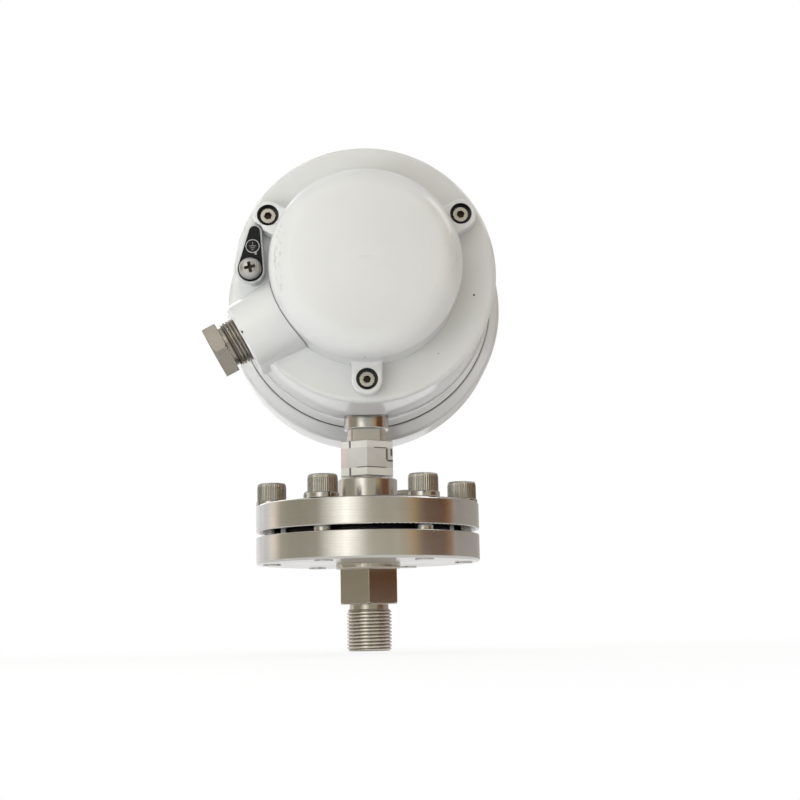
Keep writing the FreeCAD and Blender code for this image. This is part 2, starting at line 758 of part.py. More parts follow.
def case_body():
    body = spin_y([
        (0, BACK_Y), (BACK_R, BACK_Y, 2.2), (BODY_R, STEP_Y), (BODY_R - STEP_DEEP, STEP_Y),
        (BODY_R - STEP_DEEP, STEP_Y + STEP_W), (RIM_R0, STEP_Y + STEP_W, 0.6), (RIM_R, RIM_Y, 0.8),
        (NECK_R, RIM_Y), (NECK_R, NECK_Y), (0, NECK_Y)])
    boss = cable_boss()
    pad = teardrop(EARTH_X, EARTH_Z, EARTH_R + EARTH_PAD_EDGE, EARTH_TIP_X, EARTH_TIP_Z,
                   EARTH_TIP_R + EARTH_PAD_EDGE, PAD_Y, BACK_Y + 1)
    body = merged([body, boss])
    body = body.makeFillet(BOSS_FILLET, boss_seam(body))
    body = merged([body, pad])
    body = body.makeFillet(EARTH_PAD_FILLET, pad_seam(body))
    body = body.cut(cyl_y(COVER_R + PLAY, BOSS_Y - 2 * BOSS_R, BACK_Y))

    cavity = merged([cyl_y(ROOM_R, PARTITION_Y1, ROOM_Y), cyl_y(CAVITY_R, ROOM_Y, NECK_Y + 1)])
    pocket = cyl_y(ROOM_R, POCKET_Y, PARTITION_Y1).cut(cyl_y(POCKET_R, POCKET_Y, PARTITION_Y1))
    for p in cover_spots():
        pocket = pocket.cut(cyl_y(SCREW_BOSS_R, POCKET_Y, PARTITION_Y1, p.x, p.z))
    pocket = pocket.cut(boss)
    lead_in = boss_point(CHAMBER_R - 6, CABLE_PASS_Y)
    lead_out = boss_point(ADAPTER_IN, CABLE_PASS_Y)
    pocket = pocket.cut(cyl(CABLE_PASS_R + CABLE_PASS_WALL, lead_in, lead_out))
    floor_box = box(-FOOT_HALF_X - PLAY, FOOT_HALF_X + PLAY, PARTITION_Y1, -PARTITION_Y1,
                    CASE_Z - BODY_R, SEAT_Z)
    cavity = cavity.cut(floor_box)
    foot_room = box(-FOOT_HALF_X - PLAY, FOOT_HALF_X + PLAY, BLOCK_Y0 - PLAY, PLATE1_Y1 + PLAY,
                    SEAT_Z, BLOCK_TOP)
    body = body.cut(cavity).cut(pocket).cut(foot_room)
    body = body.cut(cyl_y(CHAMBER_R, BACK_Y - 1, PARTITION_Y0))

    for side in (-1, 1):
        x0, x1 = sorted((side * LUG_IN, side * (CAVITY_R + 1)))
        lug = box(x0, x1, LUG_BACK_Y, DIAL_Y, CASE_Z - LUG_HALF_Z, CASE_Z + LUG_HALF_Z)
        lug = lug.common(cyl_y(CAVITY_R + 1, LUG_BACK_Y, DIAL_Y))
        hole = cyl_y(DIAL_SCREW_R + FIT, DIAL_Y - DIAL_SCREW_DEEP, DIAL_Y + 1, side * DIAL_SCREW_X)
        body = body.fuse(lug.cut(hole))
    body = body.removeSplitter()

    below = CASE_Z - BODY_R - SPOT_R
    spot = cyl_z(SPOT_R, below, SPOT_Z)
    spot = spot.common(box(-SPOT_R, SPOT_R, -SPOT_R, STEP_Y + STEP_W + SPOT_PAST, below, SPOT_Z))
    body = body.cut(spot)
    body = body.cut(cyl_z(NECK_STEM_R + FIT, below, SEAT_Z + 1))
    body = body.cut(cyl(CABLE_R + FIT, boss_point(BOSS_END - CABLE_BORE_LEN), boss_point(BOSS_END + 1)))
    body = body.cut(cyl(CABLE_PASS_R, lead_in, lead_out))
    for p in cover_spots():
        body = body.cut(cyl_y(COVER_SCREW_R + FIT, BACK_Y - 1, BACK_Y + COVER_SCREW_DEEP, p.x, p.z))
    body = body.cut(cyl_y(EARTH_SCREW_R + FIT, PAD_Y - 1, PAD_Y + EARTH_SCREW_DEEP, EARTH_X, EARTH_Z))
    body = body.cut(cyl_y(FEED_R + FIT, PARTITION_Y0 - 1, PARTITION_Y1 + 1, 0, FEED_Z))
    for side in (-1, 1):
        y = (FOOT_Y0 + FOOT_Y1) / 2
        hole = cyl_z(STEM_SCREW_R + FIT, SEAT_Z - STEM_SCREW_LEN, SEAT_Z + 1, side * STEM_SCREW_X, y)
        body = body.cut(hole)
        z = (TERM_Z0 + TERM_Z1) / 2
        hole = cyl_y(TERM_SCREW_R + FIT, PARTITION_Y0 - 1, PARTITION_Y1 - 1, side * TERM_SCREW_X, z)
        body = body.cut(hole)
    return body


def ear_seam(cover):
    """Edges where the ears meet the round wall of the cup."""
    seam = []
    for edge in cover.Edges:
        low = edge.BoundBox.YMin
        if edge.Degenerated or low < EAR_Y - FIT or low > BACK_Y - FIT:
            continue
        off = [abs(math.hypot(p.x, p.z - CASE_Z) - COVER_R) for p in edge.discretize(5)]
        if max(off) < 1e-3:
            seam.append(edge)
    return seam


def terminal_cover():
    centre = V(0, COVER_FACE_Y + COVER_CROWN_R, CASE_Z)
    edge_x = COVER_R - COVER_EDGE_R
    reach = COVER_CROWN_R - COVER_EDGE_R
    edge = V(edge_x, centre.y - math.sqrt(reach ** 2 - edge_x ** 2), CASE_Z)
    away = (edge - centre).normalize()
    meet = centre + away * COVER_CROWN_R
    half = rad(math.degrees(math.asin(edge_x / reach)) / 2)
    crown = centre + V(math.sin(half), -math.cos(half), 0) * COVER_CROWN_R
    bend = edge + (away + V(1, 0, 0)).normalize() * COVER_EDGE_R
    apex = V(0, COVER_FACE_Y, CASE_Z)
    wall = V(COVER_R, edge.y, CASE_Z)
    foot = V(COVER_R, BACK_Y, CASE_Z)
    root = V(0, BACK_Y, CASE_Z)
    edges = [Part.Arc(apex, crown, meet).toShape(), Part.Arc(meet, bend, wall).toShape()]
    edges += [Part.makeLine(wall, foot), Part.makeLine(foot, root), Part.makeLine(root, apex)]
    cup = Part.Face(Part.Wire(edges)).revolve(V(0, 0, CASE_Z), OUT, 360)
    ears = []
    for i in range(EAR_N):
        p = around(30 + 360 / EAR_N * i, EAR_CIRCLE_R)
        bar = box(0, EAR_CIRCLE_R, EAR_Y, BACK_Y, CASE_Z - EAR_R, CASE_Z + EAR_R)
        bar.rotate(V(0, 0, CASE_Z), V(0, -1, 0), 30 + 360 / EAR_N * i)
        ear = merged([bar, cyl_y(EAR_R, EAR_Y, BACK_Y, p.x, p.z)])
        ears.append(ear.makeFillet(EAR_EDGE, edges_at_y(ear, EAR_Y)))
    inner_r = COVER_R - COVER_WALL
    inside = spin_y([
        (0, BACK_Y + 1), (inner_r, BACK_Y + 1), (inner_r, COVER_FACE_Y + COVER_TOP_T, COVER_INSIDE_R),
        (0, COVER_FACE_Y + COVER_TOP_T)])
    cover = merged([cup] + ears)
    cover = cover.makeFillet(EAR_FILLET, ear_seam(cover)).cut(inside)
    groove = cyl_y(GASKET_R, BACK_Y - GASKET_T, BACK_Y + 1)
    cover = cover.cut(groove.cut(cyl_y(GASKET_R_IN, BACK_Y - GASKET_T - 1, BACK_Y + 2)))
    grown = EARTH_PAD_EDGE + EARTH_PAD_FILLET + PLAY
    cover = cover.cut(teardrop(EARTH_X, EARTH_Z, EARTH_R + grown, EARTH_TIP_X, EARTH_TIP_Z,
                               EARTH_TIP_R + grown, EAR_Y - 1, BACK_Y + 1))
    for p in cover_spots():
        cover = cover.cut(cyl_y(EAR_BORE_R, EAR_Y - 1, SEAT_Y, p.x, p.z))
        cover = cover.cut(cyl_y(COVER_SCREW_R + PLAY, SEAT_Y - 1, BACK_Y + 1, p.x, p.z))
    room = teardrop(EARTH_X, EARTH_Z, EARTH_R + EARTH_PAD_EDGE + PLAY, EARTH_TIP_X, EARTH_TIP_Z,
                    EARTH_TIP_R + EARTH_PAD_EDGE + PLAY, PAD_Y - 5, BACK_Y + 1)
    return cover.cut(room)


def cover_gasket():
    ring = cyl_y(GASKET_R, BACK_Y - GASKET_T, BACK_Y)
    return ring.cut(cyl_y(GASKET_R_IN, BACK_Y - GASKET_T - 1, BACK_Y + 1))


def cover_screws():
    screws = []
    for p in cover_spots():
        head = cyl_y(COVER_HEAD_R, SEAT_Y - COVER_HEAD_H, SEAT_Y, p.x, p.z)
        head = head.makeChamfer(0.4, edges_at_y(head, SEAT_Y - COVER_HEAD_H))
        shank = cyl_y(COVER_SCREW_R, SEAT_Y - 1, BACK_Y + COVER_SCREW_DEEP - 1, p.x, p.z)
        a = V(p.x, SEAT_Y - COVER_HEAD_H - 1, p.z)
        socket = hex_bar(COVER_SOCKET_AF, a, a + OUT * (COVER_HEAD_H / 2 + 1), V(1, 0, 0.2))
        screws.append(merged([head, shank]).cut(socket))
    return Part.makeCompound(screws)


def earth_plate():
    plate = teardrop(EARTH_X, EARTH_Z, EARTH_R, EARTH_TIP_X, EARTH_TIP_Z, EARTH_TIP_R, PLATE_Y, PAD_Y)
    return plate.cut(cyl_y(EARTH_SCREW_R + PLAY, PLATE_Y - 1, PAD_Y + 1, EARTH_X, EARTH_Z))


def earth_screw():
    head = cyl_y(EARTH_HEAD_R, PLATE_Y - EARTH_HEAD_H, PLATE_Y, EARTH_X, EARTH_Z)
    head = head.makeFillet(1.8, edges_at_y(head, PLATE_Y - EARTH_HEAD_H))
    shank = cyl_y(EARTH_SCREW_R, PLATE_Y - 1, PAD_Y + EARTH_SCREW_DEEP - 1, EARTH_X, EARTH_Z)
    screw = merged([head, shank])
    y0 = PLATE_Y - EARTH_HEAD_H - 1
    y1 = PLATE_Y - EARTH_HEAD_H / 2
    for turn in (12, 102):
        slot = box(-2.4, 2.4, y0, y1, -0.55, 0.55)
        slot.rotate(V(0, 0, 0), OUT, turn)
        slot.translate(V(EARTH_X, 0, EARTH_Z))
        screw = screw.cut(slot)
    return screw


def cable_adapter():
    hex_in = ADAPTER_END - ADAPTER_HEX
    thread_end = hex_in - ADAPTER_RELIEF
    way = boss_point(ADAPTER_END) - boss_point(hex_in)
    corner = FreeCAD.Rotation(way, -ADAPTER_TURN).multVec(V(0, -1, 0))
    hexagon = hex_bar(ADAPTER_AF, boss_point(hex_in), boss_point(ADAPTER_END), corner)
    corner_r = ADAPTER_AF / 2 / math.cos(math.pi / 6)
    skim = cyl(corner_r, boss_point(hex_in), boss_point(ADAPTER_END))
    ends = [e for e in skim.Edges if abs(e.Length - 2 * math.pi * corner_r) < 0.1]
    hexagon = hexagon.common(skim.makeChamfer(0.9, ends))
    relief = cyl(ADAPTER_RELIEF_R, boss_point(thread_end), boss_point(hex_in))
    thread = cyl(CABLE_R, boss_point(ADAPTER_IN), boss_point(thread_end))
    shape = merged([hexagon, relief, thread])
    shape = shape.cut(cyl(ENTRY_PASS_R, boss_point(ADAPTER_IN - 1), boss_point(ADAPTER_END + 1)))
    return shape.cut(cyl(ENTRY_R, boss_point(ADAPTER_END - ENTRY_LEN), boss_point(ADAPTER_END + 1)))


def term_x():
    return [TERM_PITCH * (i - (TERM_N - 1) / 2) for i in range(TERM_N)]


def terminal_block():
    z = (TERM_Z0 + TERM_Z1) / 2
    body = box(-BLOCK_X, BLOCK_X, PARTITION_Y0 - TERM_H, PARTITION_Y0, TERM_Z0, TERM_Z1)
    lugs = box(-TERM_LUG_X, TERM_LUG_X, PARTITION_Y0 - TERM_LUG_H, PARTITION_Y0, z - 4, z + 4)
    shape = merged([body, lugs])
    for x in term_x()[:-1]:
        mid = x + TERM_PITCH / 2
        y0 = PARTITION_Y0 - TERM_H - 3
        rib = box(mid - 0.8, mid + 0.8, y0, y0 + 3.5, TERM_Z0, TERM_Z1)
        shape = shape.fuse(rib)
    shape = shape.removeSplitter()
    for x in term_x():
        y0 = PARTITION_Y0 - TERM_H
        shape = shape.cut(cyl_y(TERM_SCREW_R + FIT, y0 - 1, y0 + TERM_SCREW_DEEP, x, z))
    for side in (-1, 1):
        y0 = PARTITION_Y0 - TERM_LUG_H - 1
        shape = shape.cut(cyl_y(TERM_SCREW_R + PLAY, y0, PARTITION_Y0 + 1, side * TERM_SCREW_X, z))
    return shape


def slot_screw(x, z, seat, deep, r, head_r, head_h):
    """Slotted screw looking towards -Y, with its head on the seat."""
    head = cyl_y(head_r, seat - head_h, seat, x, z)
    shank = cyl_y(r, seat - 0.5, seat + deep, x, z)
    slot = box(x - head_r - 1, x + head_r + 1, seat - head_h - 1, seat - head_h / 2, z - 0.4, z + 0.4)
    return merged([head, shank]).cut(slot)


def front_screw(x, z, seat, deep, r, head_r, head_h):
    """Slotted screw looking towards +Y, with its head on the seat."""
    head = cyl_y(head_r, seat, seat + head_h, x, z)
    shank = cyl_y(r, seat - deep, seat + 0.5, x, z)
    slot = box(x - head_r - 1, x + head_r + 1, seat + head_h / 2, seat + head_h + 1, z - 0.35, z + 0.35)
    return merged([head, shank]).cut(slot)


def terminal_clamps():
    z = (TERM_Z0 + TERM_Z1) / 2
    y1 = PARTITION_Y0 - TERM_H
    clamps = []
    for x in term_x():
        clamp = box(x - CLAMP_W / 2, x + CLAMP_W / 2, y1 - CLAMP_T, y1, TERM_Z0 + 1, TERM_Z1 - 1)
        clamps.append(clamp.cut(cyl_y(TERM_SCREW_R + PLAY, y1 - CLAMP_T - 1, y1 + 1, x, z)))
    return Part.makeCompound(clamps)


def terminal_screws():
    z = (TERM_Z0 + TERM_Z1) / 2
    seat = PARTITION_Y0 - TERM_H - CLAMP_T
    screws = []
    for x in term_x():
        screws.append(slot_screw(x, z, seat, TERM_SCREW_DEEP, TERM_SCREW_R, TERM_HEAD_R, TERM_HEAD_H))
    return Part.makeCompound(screws)


def block_screws():
    z = (TERM_Z0 + TERM_Z1) / 2
    seat = PARTITION_Y0 - TERM_LUG_H
    deep = TERM_LUG_H + BLOCK_SCREW_DEEP
    screws = []
    for side in (-1, 1):
        x = side * TERM_SCREW_X
        screws.append(slot_screw(x, z, seat, deep, TERM_SCREW_R, TERM_HEAD_R, TERM_HEAD_H))
    return Part.makeCompound(screws)


def feedthrough_bushing():
    flange = cyl_y(FEED_FLANGE_R, PARTITION_Y0 - FEED_FLANGE_T, PARTITION_Y0, 0, FEED_Z)
    flange = flange.makeChamfer(0.8, edges_at_y(flange, PARTITION_Y0 - FEED_FLANGE_T))
    plug = cyl_y(FEED_R, PARTITION_Y0 - 1, PARTITION_Y1 + FEED_TAIL, 0, FEED_Z)
    return merged([flange, plug])


def bezel_ring():
    lip_y = GLASS_Y1
    return spin_y([
        (NECK_R + FIT, BEZEL_Y0), (BEZEL_R0, BEZEL_Y0, 0.6), (BEZEL_R1, BEZEL_RIDGE_Y, 0.8),
        (BEZEL_R, BEZEL_RIDGE_Y + 1.2, 0.8), (BEZEL_R, BEZEL_Y1, BEZEL_EDGE),
        (OPEN_R + OPEN_BEVEL, BEZEL_Y1, 0.5), (OPEN_R, lip_y + 2), (OPEN_R, lip_y), (NECK_R + FIT, lip_y)])


def window_glass():
    return cyl_y(GLASS_R, GLASS_Y0, GLASS_Y1).cut(cyl_y(LOCK_R, GLASS_Y0 - 1, GLASS_Y1 + 1))


def window_gasket():
    ring = cyl_y(WINDOW_GASKET_R, NECK_Y, GLASS_Y0)
    return ring.cut(cyl_y(WINDOW_GASKET_R_IN, NECK_Y - 1, GLASS_Y0 + 1))


def dial_plate():
    plate = cyl_y(DIAL_R, DIAL_Y, DIAL_Y1).cut(cyl_y(DIAL_HOLE_R, DIAL_Y - 1, DIAL_Y1 + 1))
    for side in (-1, 1):
        plate = plate.cut(cyl_y(DIAL_SCREW_R + PLAY, DIAL_Y - 1, DIAL_Y1 + 1, side * DIAL_SCREW_X))
        x = side * POST_X
        plate = plate.cut(cyl_y(BRIDGE_SCREW_R + FIT, DIAL_Y - 1, DIAL_Y1 + 1, x, POST_Z))
    return plate


def dial_screws():
    screws = []
    for side in (-1, 1):
        x = side * DIAL_SCREW_X
        deep = DIAL_SCREW_DEEP
        screws.append(front_screw(x, CASE_Z, DIAL_Y1, deep, DIAL_SCREW_R, DIAL_HEAD_R, DIAL_HEAD_H))
    return Part.makeCompound(screws)


def bourdon_tube():
    outer = tube_body(TUBE_HALF_W, TUBE_HALF_T, TUBE_START, TUBE_END)
    hollow_w = TUBE_HALF_W - TUBE_WALL
    hollow_t = TUBE_HALF_T - TUBE_WALL
    return outer.cut(tube_body(hollow_w, hollow_t, TUBE_START - 1, TUBE_END + 1))


def tail_at(swing):
    """Tail pivot of the sector; halfway through its swing it pushes along the link."""
    a = rad(221.1 - (swing - SECTOR_SWING / 2))
    return V(TAIL_LEN * math.cos(a), 0, SECTOR_Z + TAIL_LEN * math.sin(a))


def link_way():
    return (tail_at(SECTOR_SWING) - tail_at(0)).normalize()


def link_end():
    return tail_at(0) + link_way() * LINK_LEN


def tube_tip():
    e_r = (around(TUBE_END, 1) - V(0, 0, CASE_Z)).normalize()
    e_t = e_r.cross(OUT)
    if e_t.z > 0:
        e_t = e_t * -1
    start = around(TUBE_END, TUBE_R - TUBE_HALF_T - TIP_OVER, TUBE_Y - TUBE_HALF_W - TIP_OVER)
    wide = 2 * (TUBE_HALF_T + TIP_OVER)
    deep = 2 * (TUBE_HALF_W + TIP_OVER)
    corners = [start, start + e_r * wide, start + e_r * wide + e_t * TIP_LEN, start + e_t * TIP_LEN]
    block = Part.Face(Part.makePolygon(corners + [start])).extrude(V(0, deep, 0))
    root = around(TUBE_END, TUBE_R) + e_t * (TIP_LEN / 2)
    post = cyl_y(TUBE_HALF_T, TUBE_Y, SECTOR_Y1, root.x, root.z)
    eye = link_end()
    arm = teardrop(root.x, root.z, TUBE_HALF_T, eye.x, eye.z, TIP_ARM_R - 0.2, SECTOR_Y, SECTOR_Y1)
    shape = merged([block, post, arm])
    side = link_way().cross(OUT)
    if side.z > 0:
        side = side * -1
    sag = TAIL_LEN * (1 - math.cos(rad(SECTOR_SWING / 2)))
    hole_r = LINK_PIN_R + FIT
    for step in (0, 0.25, 0.5, 0.75, 1):
        p = eye + side * (sag * step)
        shape = shape.cut(cyl_y(hole_r, SECTOR_Y - 1, SECTOR_Y1 + 1, p.x, p.z))
    return shape


def link_rod():
    a = tail_at(0)
    b = link_end()
    y0 = SECTOR_Y - PLAY - LINK_T
    y1 = SECTOR_Y - PLAY
    way = link_way()
    side = way.cross(OUT) * (LINK_W / 2)
    corners = [(a + side), (b + side), (b - side), (a - side)]
    bar = slab([(p.x, p.z) for p in corners], y0, y1)
    parts = [bar]
    for p in (a, b):
        parts.append(cyl_y(LINK_EYE_R, y0, y1, p.x, p.z))
        parts.append(cyl_y(LINK_PIN_R, y0, SECTOR_Y1 + LINK_PIN_END, p.x, p.z))
    return merged(parts)


def movement_back_plate():
    x = PLATE_HALF_X
    z0 = BACK_PLATE_Z0
    plate = slab([(-x, z0, 2), (x, z0, 2), (x, PLATE_TOP, 3), (-x, PLATE_TOP, 3)], PLATE1_Y0, PLATE1_Y1)
    plate = plate.cut(cyl_y(PIVOT_R + FIT, PLATE1_Y0 - 1, PLATE1_Y1 + 1))
    plate = plate.cut(cyl_y(ARBOR_R + FIT, PLATE1_Y0 - 1, PLATE1_Y1 + 1, 0, SECTOR_Z))
    for side in (-1, 1):
        hole = cyl_y(MOVE_SCREW_R + PLAY, PLATE1_Y0 - 1, PLATE1_Y1 + 1, side * MOVE_SCREW_X, MOVE_SCREW_Z)
        plate = plate.cut(hole)
    return plate


def movement_front_plate():
    x = PLATE_HALF_X
    z0 = FRONT_PLATE_Z0
    plate = slab([(-x, z0, 3), (x, z0, 3), (x, PLATE_TOP, 3), (-x, PLATE_TOP, 3)], PLATE2_Y0, PLATE2_Y1)
    plate = plate.cut(cyl_y(ARBOR_R + FIT, PLATE2_Y0 - 1, PLATE2_Y1 + 1))
    plate = plate.cut(cyl_y(ARBOR_R + FIT, PLATE2_Y0 - 1, PLATE2_Y1 + 1, 0, SECTOR_Z))
    for px, pz in PILLARS:
        plate = plate.cut(cyl_y(PLATE_SCREW_R + PLAY, PLATE2_Y0 - 1, PLATE2_Y1 + 1, px, pz))
    return plate


def movement_pillars():
    pillars = []
    for px, pz in PILLARS:
        pillar = cyl_y(PILLAR_R, PLATE1_Y1, PLATE2_Y0, px, pz)
        hole = cyl_y(PLATE_SCREW_R + FIT, PLATE2_Y0 - PLATE_SCREW_DEEP, PLATE2_Y0 + 1, px, pz)
        pillars.append(pillar.cut(hole))
    return Part.makeCompound(pillars)


def plate_screws():
    deep = PLATE_T + PLATE_SCREW_DEEP - 0.5
    screws = []
    for px, pz in PILLARS:
        screws.append(front_screw(px, pz, PLATE2_Y1, deep, PLATE_SCREW_R, PLATE_SCREW_HEAD_R,
                                  PLATE_SCREW_HEAD_H))
    return Part.makeCompound(screws)


def movement_screws():
    deep = PLATE_T + MOVE_SCREW_DEEP - 1
    screws = []
    for side in (-1, 1):
        x = side * MOVE_SCREW_X
        screws.append(front_screw(x, MOVE_SCREW_Z, PLATE1_Y1, deep, MOVE_SCREW_R, MOVE_HEAD_R, MOVE_HEAD_H))
    return Part.makeCompound(screws)


def polar(r, angle):
    """X and Z from a radius and an angle turned from straight up towards +X."""
    return (r * math.sin(rad(angle)), r * math.cos(rad(angle)))


def sector_gear():
    pitch = 360 / SECTOR_TEETH
    root = SECTOR_PITCH_R - 1.2 * MODULE
    tip = SECTOR_PITCH_R + 0.9 * MODULE
    points = [(0, 0)]
    for k in range(SECTOR_FIRST, SECTOR_LAST + 1):
        for r, share in ((root, -0.27), (tip, -0.1), (tip, 0.1), (root, 0.27)):
            points.append(polar(r, (k + share) * pitch))
    points = [(x, SECTOR_Z + z) for x, z in points]
    fan = slab(points, SECTOR_Y, SECTOR_Y1)
    window = [polar(8, (SECTOR_FIRST + 1.5) * pitch), polar(18.5, (SECTOR_FIRST + 0.8) * pitch)]
    window += [polar(19, (SECTOR_FIRST + SECTOR_LAST) / 2 * pitch)]
    window += [polar(18.5, (SECTOR_LAST - 0.8) * pitch), polar(8, (SECTOR_LAST - 1.5) * pitch)]
    fan = fan.cut(slab([(x, SECTOR_Z + z) for x, z in window], SECTOR_Y - 1, SECTOR_Y1 + 1))
    hub = cyl_y(SECTOR_HUB_R, SECTOR_Y - 1.5, SECTOR_Y1 + 1, 0, SECTOR_Z)
    tail = tail_at(0)
    arm = teardrop(0, SECTOR_Z, SECTOR_HUB_R, tail.x, tail.z, TAIL_EYE_R, SECTOR_Y, SECTOR_Y1)
    hub = hub.cut(cyl_y(LINK_EYE_R + PLAY, SECTOR_Y - 2, SECTOR_Y - FIT, tail.x, tail.z))
    arbor = cyl_y(ARBOR_R, PLATE1_Y0 + 0.2, PLATE2_Y1 - 0.2, 0, SECTOR_Z)
    shape = merged([fan, hub, arm, arbor])
    return shape.cut(cyl_y(LINK_PIN_R + FIT, SECTOR_Y - 2, SECTOR_Y1 + 2, tail.x, tail.z))


def pinion_arbor():
    pitch = 360 / PINION_TEETH
    root = PINION_PITCH_R - 1.2 * MODULE
    tip = PINION_PITCH_R + 0.9 * MODULE
    points = []
    for k in range(PINION_TEETH):
        for r, share in ((root, -0.27), (tip, -0.1), (tip, 0.1), (root, 0.27)):
            x, z = polar(r, 180 + (k + 0.5 + share) * pitch)
            points.append((x, CASE_Z + z))
    gear = slab(points, SECTOR_Y - 0.5, SECTOR_Y1 + 0.5)
    rod = cyl_y(ARBOR_R, PLATE1_Y1 + 0.2, ARBOR_END)
    pivot = cyl_y(PIVOT_R, PLATE1_Y0 + 0.2, PLATE1_Y1 + 1)
    collet = cyl_y(COLLET_R, COLLET_Y, COLLET_Y + COLLET_T)
    return merged([rod, pivot, gear, collet])


def hairspring():
    """Flat spiral of half turns from the collet out to a pillar."""
    turns = []
    r = COLLET_R
    x = 0.0
    for i in range(SPRING_HALF_TURNS):
        ring = cyl_y(r + SPRING_STRIP, COLLET_Y + 0.2, COLLET_Y + COLLET_T - 0.2, x)
        ring = ring.cut(cyl_y(r, COLLET_Y - 1, COLLET_Y + COLLET_T + 1, x))
        low = CASE_Z if i % 2 == 0 else CASE_Z - SPRING_ROOM
        half = box(-SPRING_ROOM, SPRING_ROOM, COLLET_Y, COLLET_Y + COLLET_T, low, low + SPRING_ROOM)
        turns.append(ring.common(half))
        shift = SPRING_GAP / 2
        x = x + shift if i % 2 == 0 else x - shift
        r = r + shift
    return merged(turns)


def blade(angle, back, front, half0, half1, y0, y1):
    """Tapered hand from behind the axis out to its tip."""
    shape = slab([
        (-back, CASE_Z - half0), (front, CASE_Z - half1), (front, CASE_Z + half1),
        (-back, CASE_Z + half0)], y0, y1)
    shape.rotate(V(0, 0, CASE_Z), V(0, -1, 0), angle)
    return shape


def pointer():
    arm = blade(POINTER_ZERO, POINTER_TAIL, POINTER_LEN, POINTER_HALF_W, POINTER_TIP_HALF,
                POINTER_Y, POINTER_Y + POINTER_T)
    hub = cyl_y(POINTER_HUB_R, POINTER_HUB_Y0, POINTER_HUB_Y1)
    return merged([arm, hub]).cut(cyl_y(ARBOR_R, POINTER_HUB_Y0 - 1, POINTER_HUB_Y1 + 1))


def contact_bridge():
    z = POST_Z
    x = POST_X + BRIDGE_FOOT_OVER
    half = BRIDGE_FOOT_HALF
    corners = [(-x, z - half), (x, z - half), (x, z + half), (-x, z + half)]
    foot = slab([(px, pz, half / 2) for px, pz in corners], BRIDGE_Y, BRIDGE_Y1)
    arm = box(-BRIDGE_HALF_X, BRIDGE_HALF_X, BRIDGE_Y, BRIDGE_Y1, z, CASE_Z)
    end = cyl_y(BRIDGE_END_R, BRIDGE_Y, BRIDGE_Y1)
    stub = cyl_y(STUB_R, BRIDGE_Y, STUB_END)
    groove = cyl_y(STUB_R + 1, CLIP_Y, CLIP_Y + CLIP_T).cut(cyl_y(CLIP_IN_R, CLIP_Y - 1, CLIP_Y + 2))
    parts = [foot, arm, end, stub.cut(groove)]
    for side in (-1, 1):
        parts.append(cyl_y(POST_R, DIAL_Y1, BRIDGE_Y, side * POST_X, z))
    shape = merged(parts)
    for side in (-1, 1):
        shape = shape.cut(cyl_y(BRIDGE_SCREW_R + FIT, DIAL_Y1 - 1, BRIDGE_Y1 + 1, side * POST_X, z))
    return shape


def bridge_screws():
    deep = BRIDGE_Y1 - DIAL_Y
    screws = []
    for side in (-1, 1):
        screws.append(front_screw(side * POST_X, POST_Z, BRIDGE_Y1, deep, BRIDGE_SCREW_R,
                                  BRIDGE_HEAD_R, BRIDGE_HEAD_H))
    return Part.makeCompound(screws)


def low_limit_hand():
    y = LOW_Y0 + PLAY
    arm = blade(LOW_AT, 0, LOW_LEN, HAND_HALF_W, HAND_TIP_HALF, y, y + HAND_T)
    hub = cyl_y(LOW_HUB_R, LOW_Y0, LOW_Y0 + LOW_HUB_T)
    sleeve = cyl_y(LOW_SLEEVE_R, LOW_Y0, LOW_SLEEVE_END)
    p = around(LOW_AT, LOW_STUD)
    stud = cyl_y(STUD_R, STUD_Y, y + HAND_T, p.x, p.z)
    return merged([arm, hub, sleeve, stud]).cut(cyl_y(STUB_R + FIT, LOW_Y0 - 1, LOW_SLEEVE_END + 1))


def high_limit_hand():
    y = HIGH_Y0 + 2 * PLAY
    arm = blade(HIGH_AT, 0, HIGH_LEN, HAND_HALF_W, HAND_TIP_HALF, y, y + HAND_T)
    hub = cyl_y(HIGH_HUB_R, HIGH_Y0, HIGH_Y0 + HIGH_HUB_T)
    p = around(HIGH_AT, HIGH_STUD)
    stud = cyl_y(STUD_R, STUD_Y, y + HAND_T, p.x, p.z)
    bore = cyl_y(LOW_SLEEVE_R + FIT, HIGH_Y0 - 1, HIGH_Y0 + HIGH_HUB_T + 1)
    return merged([arm, hub, stud]).cut(bore)


def hand_clip():
    ring = cyl_y(CLIP_R, CLIP_Y, CLIP_Y + CLIP_T).cut(cyl_y(CLIP_IN_R, CLIP_Y - 1, CLIP_Y + 1))
    return ring.cut(box(-1.6, 1.6, CLIP_Y - 1, CLIP_Y + 1, CASE_Z - CLIP_R - 1, CASE_Z))


def setting_bush():
    bush = spin_y([
        (PLUNGER_R + FIT, LOCK_IN_Y), (LOCK_R - FIT, LOCK_IN_Y), (LOCK_R - FIT, GLASS_Y1),
        (LOCK_FLANGE_R, GLASS_Y1), (LOCK_FLANGE_R, LOCK_Y1, 1.2), (LOCK_WELL_R, LOCK_Y1),
        (LOCK_WELL_R, WELL_Y), (PLUNGER_R + FIT, WELL_Y)])
    return bush


def setting_nut():
    a = V(0, GLASS_Y0 - LOCK_NUT_T, CASE_Z)
    nut = hex_bar(LOCK_NUT_AF, a, V(0, GLASS_Y0, CASE_Z), V(0, 0, 1))
    return nut.cut(cyl_y(LOCK_R, a.y - 1, GLASS_Y0 + 1))


def setting_plunger():
    inner = SPINDLE_R + FIT
    return spin_y([
        (inner, LOCK_IN_Y + PLAY), (PLUNGER_R, LOCK_IN_Y + PLAY), (PLUNGER_R, PLUNGER_Y),
        (PLUNGER_HEAD_R, PLUNGER_Y), (PLUNGER_HEAD_R, PLUNGER_Y1, 0.6), (inner, PLUNGER_Y1)])


